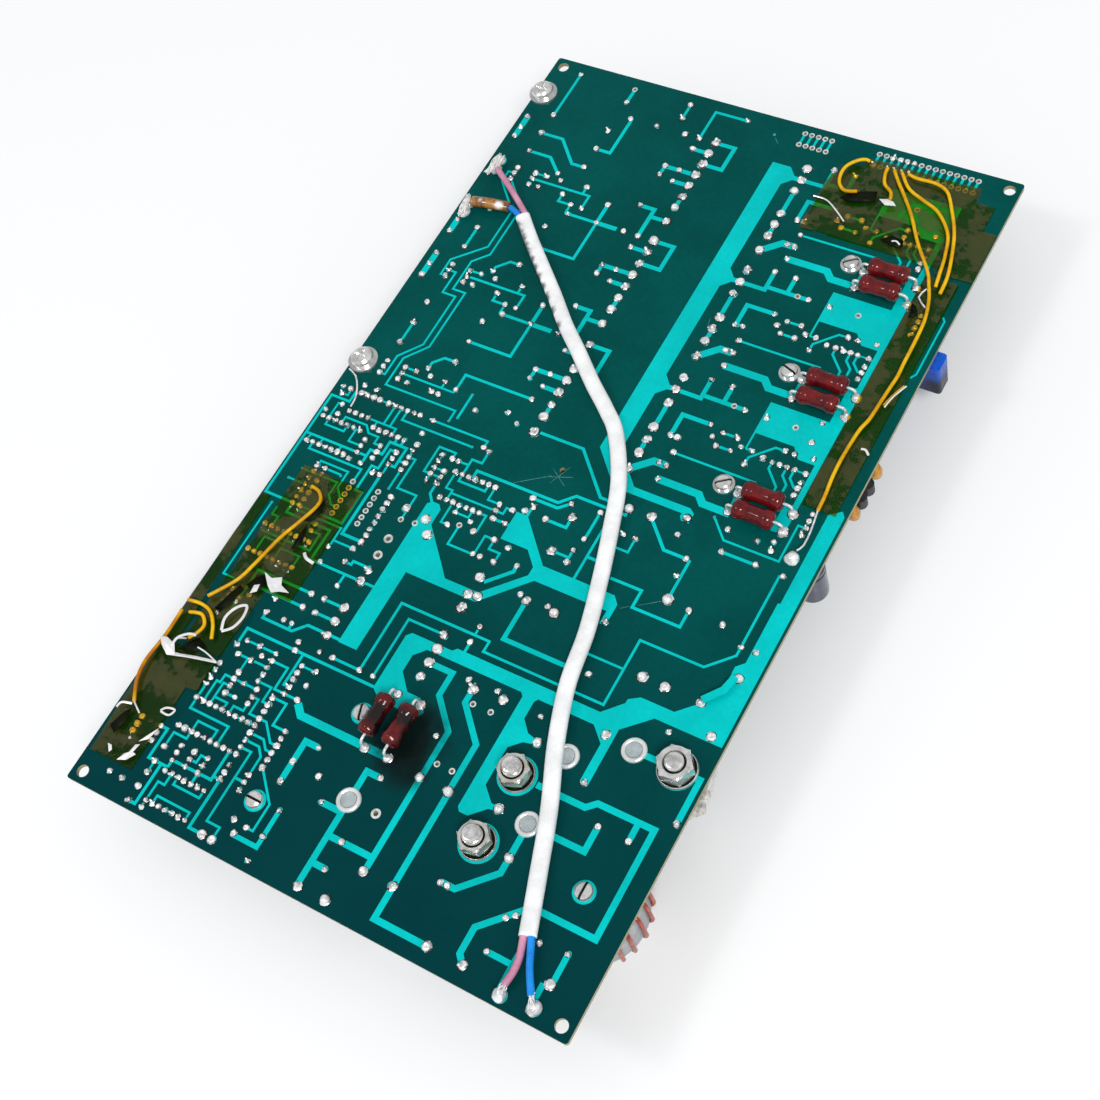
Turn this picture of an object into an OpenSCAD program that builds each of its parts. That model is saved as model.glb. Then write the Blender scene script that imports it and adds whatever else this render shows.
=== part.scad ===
// Motherboard of a laser device, lying on its components with the solder side up.
// X runs across the board, Y along it, and Z points out of the solder side.
// The origin is the middle of the four fixing holes, on the face of the solder side.

/* [Board] */
// Spacing of the layout grid
pitch = 2.54; // [2.4:0.02:2.8]
// Grid cells across the board
cells_across = 71; // [71:1:75]
// Grid cells along the board
cells_along = 122; // [122:1:126]
// Thickness of the laminate
board_t = 1.6; // [1.2:0.1:2.4]
// Radius of the board's corners
corner_r = 1; // [0.5:0.1:3]
// Diameter of the fixing holes
fixing_d = 4; // [3:0.1:5]
// Distance of the fixing holes from the edges
fixing_inset = 3.81; // [3.5:0.01:5]
// Overrun of a cut past its faces
overrun = 1; // [0.5:0.1:2]

/* [Copper] */
// Thickness of the masked copper
copper_t = 0.12; // [0.08:0.01:0.2]
// Diameter of an open ring pad
ring_d = 2; // [1.8:0.05:2.3]
// Hole of an open ring pad
ring_bore = 1.1; // [0.8:0.05:1.3]
// Diameter of a terminal ring pad
eye_d = 3.1; // [2.8:0.05:3.4]
// Hole of a terminal ring pad
eye_bore = 1.6; // [1.2:0.05:2]
// Height of the tin on a ring pad
tin_t = 0.15; // [0.1:0.01:0.3]

/* [Solder joints] */
// Base diameter of a small joint
small_joint_d = 1.9; // [1.6:0.05:2.1]
// Height of a small joint
small_joint_h = 1.2; // [0.9:0.05:1.6]
// Base diameter of a large joint
large_joint_d = 3; // [2.6:0.05:3.4]
// Height of a large joint
large_joint_h = 1.8; // [1.4:0.05:2.2]
// Outer diameter of a tinned stud disc
disc_d = 7.8; // [7:0.1:8.6]
// Height of a tinned stud disc
disc_h = 0.9; // [0.6:0.05:1.4]
// Diameter of a heap of solder at a wire's end
heap_d = 4.4; // [3.6:0.1:5]
// Height of a heap of solder
heap_h = 2.6; // [2:0.1:3.4]

/* [Screws and nuts] */
// Washer under a slotted screw
slot_washer_d = 7; // [6.5:0.1:8]
// Thickness of that washer
slot_washer_t = 0.5; // [0.4:0.05:0.8]
// Head of a slotted screw
slot_head_d = 5.5; // [5:0.1:6]
// Height of that head
slot_head_h = 2; // [1.6:0.1:2.4]
// Width of the slot
slot_w = 0.8; // [0.6:0.05:1.1]
// Depth of the slot
slot_depth = 0.9; // [0.6:0.05:1.1]
// Shank of a slotted screw
slot_shank_d = 3; // [2.5:0.1:3.2]
// Washer under a cross-head screw
cross_washer_d = 10.4; // [9.5:0.1:11]
// Thickness of that washer
cross_washer_t = 0.8; // [0.6:0.05:1.2]
// Head of a cross-head screw
cross_head_d = 8; // [7.4:0.1:8.6]
// Height of that head
cross_head_h = 2.6; // [2.2:0.1:3.2]
// Shank of a cross-head screw
cross_shank_d = 4; // [3.4:0.1:4.2]
// Length of a cross in the head
cross_w = 4.4; // [3.6:0.1:5]
// Washer under a hexagon nut
nut_washer_d = 12.4; // [11.6:0.1:13]
// Thickness of that washer
nut_washer_t = 1.2; // [0.8:0.05:1.6]
// Width of the nut across its flats
nut_af = 10; // [9.4:0.1:10.6]
// Height of the nut
nut_h = 5; // [4:0.1:5.6]
// Diameter of the stud
stud_d = 6; // [5:0.1:6.4]
// Farthest that a stud stands proud of its nut
stud_proud = 3; // [1:0.1:4]
// Clearance of a fastener in its hole
hole_gap = 0.2; // [0.1:0.05:0.4]

/* [Power resistors] */
// Diameter of a resistor's body
resistor_d = 6.4; // [5.8:0.1:6.8]
// Length of a resistor's body
resistor_l = 13.6; // [12:0.1:14]
// Gap below a resistor's body
resistor_lift = 1.6; // [1:0.1:2.4]
// Diameter of a resistor's lead
resistor_lead_d = 0.9; // [0.7:0.05:1.1]
// Reach of the leads from end to end
resistor_span = 18.8; // [17.5:0.1:20]

/* [Wiring] */
// Width of the white sleeve
sleeve_w = 5.2; // [4.6:0.1:5.6]
// Height of the white sleeve
sleeve_h = 3.4; // [3:0.1:3.8]
// Diameter of the two link wires
link_d = 2.2; // [1.8:0.1:2.4]
// Diameter of the yellow wires
thin_d = 1.2; // [0.9:0.1:1.4]
// Diameter of a bare lead
bare_d = 0.6; // [0.5:0.05:0.8]
// Gap between a yellow wire and the tape under it
wire_gap = 0.1; // [0.05:0.05:0.2]
// Width of the solder strap
strap_w = 2.3; // [2:0.1:2.6]
// Thickness of the solder strap
strap_t = 0.5; // [0.3:0.05:0.8]
// Width of the taped splice
splice_w = 4; // [3:0.1:4.6]

/* [Tape] */
// Thickness of the amber tape
tape_t = 0.1; // [0.08:0.01:0.2]

/* [Transformers] */
// Depth of the tallest parts below the board
rest_depth = 30; // [28:0.5:34]
// Length of the ferrite core
core_l = 42; // [40:0.5:43]
// Width of the ferrite core
core_w = 40; // [38:0.5:42]
// Thickness of the ferrite core
core_t = 15; // [13:0.5:16]
// Width of the core's back
core_back = 6; // [5:0.5:6.5]
// Width of the core's middle leg
core_leg = 12; // [11:0.5:12.5]
// Wall of the coil former
former_t = 1.2; // [1:0.1:1.4]
// Width of a pin rail
rail_w = 5; // [4:0.1:5.4]
// Gap between the winding and the core's outer legs
coil_gap = 0.5; // [0.3:0.05:0.8]
// Distance of the winding from the transformer's top and bottom
coil_inset = 1.5; // [1:0.1:2]
// Radius of the winding's corners
coil_round = 4; // [3:0.1:5]
// Gap between the coil former and what it holds
former_gap = 0.15; // [0.1:0.05:0.2]

/* [Heat sinks] */
// Width of a heat sink
sink_w = 26; // [24:0.5:27]
// Length of a heat sink
sink_l = 25; // [22:0.5:26]
// Thickness of its base
sink_base = 5; // [4:0.1:6]
// Thickness of a fin
fin_t = 1.4; // [1:0.1:1.8]
// Number of fins
fins = 7; // [5:1:8]
// Length of a power transistor's case
case_l = 20.8; // [19:0.1:21]
// Width of a power transistor's case
case_w = 15.8; // [14:0.1:16]
// Thickness of a power transistor's case
case_t = 5; // [4.6:0.1:5.2]
// Distance of the screw hole from the case's end
case_hole_inset = 6.1; // [5.6:0.1:6.4]
// Width of a transistor's leg
leg_w = 1.2; // [1:0.1:1.5]
// Thickness of a transistor's leg
leg_t = 0.6; // [0.5:0.05:0.8]
// Spacing of a transistor's legs
leg_step = 5.45; // [5:0.05:5.6]
// Reach of a transistor's legs
leg_reach = 6; // [5:0.1:6.4]

/* [Capacitors] */
// Diameter of a filter capacitor
filter_d = 25; // [22:0.5:26]
// Diameter of a small can
can_d = 10; // [8:0.5:11]
// Height of a small can
can_h = 16; // [12:0.5:20]
// Length of a film capacitor
film_l = 18; // [16:0.5:19]
// Width of a film capacitor
film_w = 7; // [5:0.5:7.5]
// Height of a film capacitor
film_h = 13; // [10:0.5:15]
// Radius of its corners
film_round = 1.2; // [0.8:0.1:1.6]

/* [Choke and rectifiers] */
// Outer diameter of the toroid core
choke_d = 32; // [30:0.5:34]
// Inner diameter of the toroid core
choke_bore = 16; // [15:0.5:18]
// Height of the toroid core
choke_h = 13; // [11:0.5:15]
// Diameter of the choke's wire
turn_d = 1.4; // [1.1:0.1:1.5]
// Turns on the choke
turns = 22; // [16:1:24]
// Gap between a turn and the core
turn_gap = 0.1; // [0.08:0.01:0.2]
// Lift of the choke off the board
choke_lift = 2.4; // [2:0.1:4]
// Rectifier's hexagon across its flats
base_af = 19; // [17:0.5:19]
// Height of that hexagon
base_h = 6; // [5:0.5:7]
// Diameter of the rectifier's cap
cap_d = 13; // [11:0.5:14]
// Height of the rectifier's cap
cap_h = 8; // [7:0.5:9]

/* [Small parts] */
// Height of a chip
chip_h = 3.4; // [3:0.1:4]
// Lift of a chip off the board
chip_lift = 0.6; // [0.4:0.1:1]
// Diameter of a small axial part
axial_d = 2.5; // [2:0.1:3]
// Length of its body
axial_l = 6.3; // [5:0.1:6.6]
// Diameter of its leads
thin_lead_d = 0.7; // [0.5:0.05:0.8]
// Height of a header's housing
header_h = 9; // [7:0.5:10]
// Diameter of a bead and of a small transistor
bead_d = 4.4; // [4:0.1:4.5]
// Height of a bead
bead_h = 9; // [7:0.5:10]

/* [Hidden] */

board_w = cells_across * pitch;
board_l = cells_along * pitch;
facets = 40;

// Places are [across, along] shares of the pitch, counted from the board's top left corner.
// The first stage's places hold for the others too, one block further along the board each.
stage_step_share = 18;
stages = [0, 1, 2];
driver_offset_shares = [0, 18, 35];

stage_joint_shares = [
    [24.5, 7], [26.75, 7], [26.75, 9], [24.5, 13], [24.5, 14.5], [26.75, 13], [26.75, 15],
    [24.5, 20.25], [46.75, 6], [49.75, 6], [52.75, 8.5], [55.75, 8.5],
    [49.75, 12], [51.75, 12.5], [53.75, 12.5], [50.75, 13.5], [54.75, 13.5], [56.25, 13.5],
    [51.75, 14.5], [53.75, 14.5], [56.25, 15.5], [60, 12], [61.25, 12], [63.75, 11.75],
    [58, 14], [59.25, 14], [60.25, 14], [61.25, 14], [62.25, 14], [63.75, 14],
    [63.75, 15.25], [63.75, 16.25], [63.75, 17.25], [45.75, 15.25], [46.75, 15.25],
    [47.25, 17.4], [46.4, 19.4], [47.4, 19.4], [47.25, 21.5]
];
stage_pin_v_shares = [7, 9, 11, 13, 15, 17, 19, 21.5];
stage_pin_u_shares = [29.25, 43.25];
stage_ring_shares = [[51.25, 8.5], [59.75, 8.5]];
stage_single_shares = [
    [67.1, 23.75], [67.1, 24.75], [67.1, 25.75], [67.1, 26.75], [62.5, 42.75], [62.5, 45.75],
    [67, 54.75], [67, 55.75], [67, 56.75], [67, 57.75], [31.75, 2], [60, 13.1]
];
driver_joint_shares = [
    [4.75, 10], [13.75, 10], [4.75, 13.5], [13.75, 13.5], [4.75, 17], [13.75, 17],
    [10.75, 19.25], [11.75, 20.25], [7.75, 20.25], [9.5, 20.25], [7.75, 21.25],
    [7.75, 22.25], [9.25, 22.25], [4.75, 20.25], [4.75, 21.25], [4.75, 22.25]
];
driver_pair_joint_shares = [
    [13.25, 22.25], [15.25, 23.5], [17, 23.5], [15.75, 25], [20.25, 25], [20.25, 21.75],
    [15.9, 20]
];
driver_single_shares = [
    [4.75, 2], [13.75, 4.5], [22.75, 2], [22.75, 4.5], [15.75, 7], [20, 7],
    [1.25, 11.5], [1.25, 13.5], [1.25, 15.25], [1.25, 31.25], [1.25, 33.25],
    [1.5, 37.25], [1.5, 39.25], [1.5, 41.25], [13.1, 57.25], [14.2, 57.25], [14.1, 55.25],
    [16.1, 55.75], [20.25, 57.5], [26.4, 53.25], [26.5, 57.25]
];
// Rows and columns of pins: [across, along, count]
control_row_shares = [
    [4.25, 61, 4], [4.25, 64, 4], [8.75, 61, 6], [8.75, 65, 6], [1.25, 66, 7], [1.25, 70, 7],
    [22.75, 66.5, 7], [22.75, 70.5, 7], [3.25, 82.75, 8], [3.25, 86.75, 8],
    [9.25, 106.5, 10], [9.25, 110.5, 10], [11.25, 116, 7], [11.25, 120, 7]
];
control_column_shares = [
    [4.9, 72.75, 7], [6.1, 72.75, 7], [16.75, 73, 8], [4.75, 92.25, 4], [9.25, 101.5, 4],
    [19.25, 97.5, 5], [18.25, 102.5, 4], [22.25, 105.5, 6], [15.75, 102.5, 3],
    [18.25, 107.5, 3], [18.25, 112, 3], [21.25, 112, 3], [7.25, 111.5, 3], [4.25, 111.5, 3],
    [11.25, 112.5, 3], [13.25, 112.5, 3], [15.25, 112.5, 3], [15.25, 100.5, 2],
    [12.25, 101.5, 4], [13.75, 67, 3], [15.75, 65, 5], [19.75, 65, 5], [21.25, 67, 3],
    [8.75, 67, 3], [11.25, 67, 3]
];
control_single_shares = [
    [1.25, 61], [2.5, 61], [1.75, 62], [2.75, 63.5], [1, 65], [3, 65], [4, 59.75],
    [6, 59.75], [15.75, 61], [15.5, 63.25], [24.25, 62], [25.25, 62.25], [21.25, 65],
    [22.25, 65], [12.5, 70.75], [13.5, 70.75], [8.25, 70.25], [10.1, 70.25], [30.5, 68.4],
    [32.5, 68.5], [30.5, 69.4], [30.75, 70.5], [32.5, 70.5], [25.75, 71.6], [28.25, 72],
    [25.75, 73.5], [29.4, 73], [31, 75.75], [32, 75.75], [32.5, 73], [34, 75.75],
    [34.75, 73.25], [16.25, 81.25], [13, 82.25], [13.25, 84.5], [16.25, 83.25],
    [17.25, 86.5], [9.6, 80.25], [9.6, 81.25], [14.75, 88.75], [16.75, 88.75],
    [14.75, 90.75], [16.75, 90.75], [10.75, 91.25], [10.75, 93.25], [13.5, 93.25],
    [14.75, 93.25], [6.25, 93], [7.25, 91.25], [7.25, 92.25], [17, 95], [20.25, 95],
    [22.25, 95], [26.25, 95], [28.25, 95], [17.25, 96.1], [10.75, 97.5], [12.75, 97.5],
    [15.25, 97.5], [21.25, 97.5], [9.75, 98.5], [13.75, 98.5], [15.25, 98.5],
    [10.75, 99.5], [12.75, 99.5], [15.25, 99.5], [21.25, 99.5], [21.25, 101.5],
    [13.75, 102.5], [13.75, 104.5], [9.25, 113.5], [9.25, 115.5], [9.25, 117],
    [9.25, 119], [9.25, 121], [11.25, 121], [22.75, 117.25], [24.75, 117.5],
    [23.75, 118.75], [4.75, 119], [6.75, 119], [27.25, 105.5], [25.25, 108.25],
    [25.25, 111], [29.25, 108.5], [27.25, 114], [27.25, 117.5], [27.25, 120.75]
];
output_single_shares = [
    [34, 66], [34.75, 67], [34, 68], [37, 68], [39, 64.75], [43, 64.5], [42.9, 68.5],
    [42.4, 70.4], [42.5, 72.1], [47, 66], [48.75, 66], [37, 75], [37, 84], [37, 86.25],
    [39.4, 78.25], [43.4, 78.25], [39.4, 90.5], [43.4, 90.3], [52.25, 84], [49.75, 85],
    [53.25, 63.5], [55.75, 66], [55.75, 68.5], [58.5, 60.5], [62.5, 60.5], [64.4, 59.9],
    [64.5, 61], [59.25, 63.5], [63.75, 63.5], [67.4, 63.6], [67, 73.75], [69, 73.75],
    [59.25, 72], [63.75, 72], [50.75, 77.25], [49.75, 91], [58.4, 95.9], [70.25, 95.75],
    [64.25, 86.5], [62.35, 99.75], [66.3, 99.75], [36.25, 105.5], [31.25, 111],
    [36.25, 114], [36.25, 117.5], [39.5, 98.25], [50.25, 113], [49.3, 113], [58.1, 113.2],
    [59, 112.5], [62.9, 113.9], [66.4, 113.6], [58.1, 117.3]
];
large_joint_shares = [
    [19.75, 83], [19.75, 84.75], [19.75, 88.75], [19.75, 90.75], [19.75, 92.75],
    [20.25, 120.5], [21.75, 120.5], [19.5, 73.6], [22.75, 74], [24.1, 75.8],
    [33.5, 78.25], [33.3, 80.75], [34.6, 80.6], [33.5, 82.75], [33.5, 86.75],
    [33.7, 88.65], [33.7, 90.6], [33.7, 92.6], [40.5, 78.75], [44.5, 78.75],
    [40.5, 91.25], [44.5, 91], [40.5, 103.5], [44.5, 103.5], [40.5, 115.75],
    [44.5, 115.75], [40, 66.5], [40, 71.5], [46, 62.6], [49, 62.5],
    [56.25, 71.75], [58.25, 81.75], [61.25, 81.75], [68.6, 77.4], [66, 81.9], [69, 85],
    [57.75, 89.75], [51, 94], [51, 102.8], [55, 107.25], [51.75, 119.8], [56.4, 119.75],
    [66.25, 117.25], [34.4, 120.5], [38.25, 120.5]
];
bus_joint_share = [53.25, 61];
// Open pads, shown as bare rings: [across, along, count along]
ring_column_shares = [[10.75, 73, 6], [14.75, 73, 6], [19.75, 75.25, 1], [21.75, 75, 1]];
ring_single_shares = [
    [13.75, 2], [27.25, 73], [41.5, 93], [44, 93], [41.5, 101.2], [43.6, 101.2]
];
ladder_u_shares = [40.25, 41.25, 42.25, 43.25, 44.25];
ladder_w_share = 0.35;
plug_u_shares = [for (i = [0:14]) 51.25 + i];
plug_v_shares = [1.5, 3.5];
// The plug's columns that are filled in the first row, and those that carry a wire in the second
filled_columns = [2, 3, 4, 5];
wired_columns = [0, 2, 3, 4, 5];
driver_via_shares = [[17.75, 60.25], [18.6, 55.6], [18.6, 59.4]];
control_via_shares = [[22.75, 62.5], [15.75, 72], [8.7, 72.9], [3.2, 73.9], [2.2, 75.8], [2.2, 79.8]];
stage_via_shares = [[56.25, 59.6], [36.3, 3]];
via_shares = concat(driver_via_shares, control_via_shares, stage_via_shares);
eye_shares = [[19.75, 78.25], [19.75, 80.75], [38.1, 109.4]];
disc_shares = [[61.75, 90.1], [55, 94], [55, 102.9], [34.25, 109.4]];
heap_shares = [
    [61.9, 120.75], [65.95, 120.3], [67.4, 61.1], [1.7, 20], [1.9, 21.6], [1.4, 28.3], [1.5, 29.8]
];
centre_hole_share = [35.5, 61];
slot_screw_shares = [[55.5, 19.5], [55.5, 37.5], [55.25, 55.1], [29.7, 99.6], [23.8, 114.3], [64.6, 106.9]];
washered_slot_screws = 3;
slot_turn_shares = [0.2, -0.1, 0.2, -0.4, 0, 0.5];
cross_screw_shares = [[1.25, 6.9], [1.55, 56.4]];
nut_shares = [[67.35, 90.1], [50.9, 98.4], [50.9, 107.2]];
nut_turn_shares = [0.1, 0.35, 0.2];
stud_proud_shares = [0.4, 1, 1];
base_turn_shares = [-0.33, 0, 0];
// Power resistors: [across, along, turn as a share of a right angle]
resistor_shares = [
    [61.1, 20, 0], [61.1, 22.8, 0], [61.1, 37.9, 0], [61.1, 40.8, 0],
    [61.1, 55.6, 0], [61.1, 58.3, 0], [32.4, 99.4, 1], [35.7, 99.4, 1]
];

// Copper tracks: [width, route], in shares of the pitch
stage_track_shares = [
    [0.6, [[29.25, 7], [32.25, 7], [32.25, 11], [29.25, 11]]],
    [0.6, [[26.75, 9], [29.25, 9]]],
    [0.65, [[24.5, 13], [29.25, 13]]],
    [0.5, [[24.5, 13], [24.5, 14.5]]],
    [0.65, [[26.75, 15], [29.25, 15]]],
    [0.6, [[29.25, 17], [29.25, 19]]],
    [0.6, [[43.25, 9], [46.75, 9], [46.75, 6]]],
    [0.6, [[46.75, 8.5], [52.75, 8.5]]],
    [0.6, [[49.75, 6], [49.75, 8.5]]],
    [0.6, [[43.25, 11], [43.25, 15]]],
    [0.6, [[45.75, 15.25], [45.75, 12], [49.75, 12]]],
    [0.5, [[45.75, 15.25], [46.75, 15.25]]],
    [0.6, [[43.25, 17], [43.25, 19]]],
    [0.3, [[47.25, 17.4], [58.75, 17.4]]],
    [1, [[43.25, 21.5], [45.6, 19.4], [47.4, 19.4]]],
    [1, [[47.25, 21.5], [53, 21.5], [54, 22.5], [57.75, 22.5]]],
    [0.6, [[57.5, 20], [57.5, 22.5]]],
    [0.35, [[51.75, 12.5], [53.75, 12.5]]],
    [0.35, [[51.75, 14.5], [53.75, 14.5]]],
    [0.25, [[55.35, 13.5], [56.25, 13.5]]],
    [0.3, [[60, 12], [58.75, 12], [56.25, 14.5], [56.25, 15.5]]],
    [0.2, [[60.25, 14], [61.25, 14]]],
    [0.22, [[62.25, 14], [63.75, 14]]],
    [0.3, [[59.25, 14], [59.25, 15], [61.25, 17], [61.25, 18]]],
    [0.3, [[61.25, 14], [61.25, 15.25], [62.25, 16.25], [62.25, 17.25]]],
    [0.3, [[62.25, 14], [62.25, 15.25], [63.25, 16.25], [63.75, 16.25]]]
];
stage_pair_track_shares = [
    [0.6, [[24.5, 20.25], [26.75, 20.25], [26.75, 25]]],
    [0.6, [[26.75, 21.5], [29.25, 21.5]]]
];
stage_plane_shares = [
    [55.25, 6.25], [65, 6.25], [65, 22.6], [63.25, 22.6], [63.25, 19], [64.25, 18.5],
    [64.25, 12.5], [62, 12.5], [60.75, 11], [55.5, 11], [55.5, 13.5], [55.25, 13.5]
];
stage_single_track_shares = [
    [1.75, [[64.125, 22.4], [64.125, 24.4]]],
    [1.75, [[64.125, 40.4], [64.125, 42.4]]],
    [0.4, [[31.75, 2], [26.75, 2], [26.75, 7]]],
    [0.25, [[69.7, 23], [70.1, 23.5], [70.1, 32], [69.6, 32.75]]],
    [0.28, [[56.25, 59.6], [58.7, 62], [66.05, 62], [66.05, 56.75], [67, 56.75]]]
];
// The bus: its corner points before and after the three taps, and one tap's outline
bus_start_shares = [[38.25, 7.4]];
bus_tap_shares = [
    [40.95, 7.4], [42.1, 8.65], [43.25, 8.65], [43.25, 9.35], [42.1, 9.35], [40.95, 10.5]
];
bus_end_shares = [
    [40.95, 55.5], [45.1, 59.65], [53, 59.65], [53.75, 60.2], [53.75, 61.6], [52.7, 61.6],
    [52.3, 61.1], [52.3, 60.65], [42.7, 60.65], [38.25, 56.2]
];
driver_track_shares = [
    [0.4, [[4.75, 2], [4.75, 10]]],
    [0.5, [[13.75, 2], [13.75, 4.5]]],
    [0.4, [[22.75, 2], [22.75, 4.5]]],
    [0.48, [[16, 7], [16, 13.5], [13.75, 13.5]]],
    [0.45, [[4.75, 13.5], [8.25, 13.5], [11.75, 17], [13.75, 17]]],
    [0.45, [[4.75, 17], [8.25, 17], [10.75, 19.25]]],
    [0.42, [[20.25, 25], [20.25, 31.5], [13.75, 31.5]]],
    [0.42, [[20.25, 43], [20.25, 48.5], [13.75, 48.5]]],
    [0.4, [[4.75, 31.5], [4.75, 35]]],
    [0.38, [[13.75, 35], [12.25, 35], [10.75, 36.5], [10.75, 37.25]]],
    [0.38, [[4.75, 48.5], [4.75, 52]]],
    [0.38, [[13.75, 52], [12, 52], [10.75, 53.25], [10.75, 54.25]]],
    [0.3, [[7.75, 55.25], [9.5, 55.25]]],
    [0.28, [[7.75, 56.25], [16.1, 56.25]]],
    [0.3, [[14.1, 55.25], [14.1, 56.25]]],
    [0.38, [[16.1, 55.75], [16.1, 53.25], [26.4, 53.25]]],
    [0.9, [[1.25, 11.5], [1.25, 15.25]]],
    [0.9, [[1.25, 31.25], [1.25, 33.25]]],
    [0.9, [[1.5, 37.25], [1.5, 41.25]]],
    [0.28, [[4.75, 21.25], [3.75, 21.25], [3.75, 23.1], [7.9, 27.25], [7.9, 33.85],
        [4, 37.6], [4, 40.25], [4.75, 40.25]]],
    [0.28, [[4.75, 22.25], [8.9, 26.4], [8.9, 34.9], [7, 36.85], [7, 41.8], [9, 41.8],
        [9, 51.2], [6.6, 54.1], [6.6, 58.6], [17.75, 58.6], [17.75, 60.25]]],
    [0.28, [[4.75, 39.25], [5.9, 39.25], [5.9, 42.8], [8, 42.8], [8, 51.2], [5.6, 54.1],
        [5.6, 57.25], [4.75, 57.25]]],
    [0.35, [[18.6, 55.6], [18.6, 59.4]]]
];
driver_pair_track_shares = [
    [0.3, [[7.75, 20.25], [9.5, 20.25]]],
    [0.35, [[7.75, 21.25], [17, 21.25], [17, 23.5]]],
    [0.35, [[15.9, 20], [15.9, 21.25]]],
    [0.35, [[13.25, 22.25], [13.25, 23.5], [15.25, 23.5], [15.25, 25]]],
    [0.42, [[15.25, 25], [20.25, 25]]],
    [0.55, [[20.25, 21.75], [20.25, 25]]],
    [0.65, [[20.25, 25], [23.4, 25]]]
];
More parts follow.
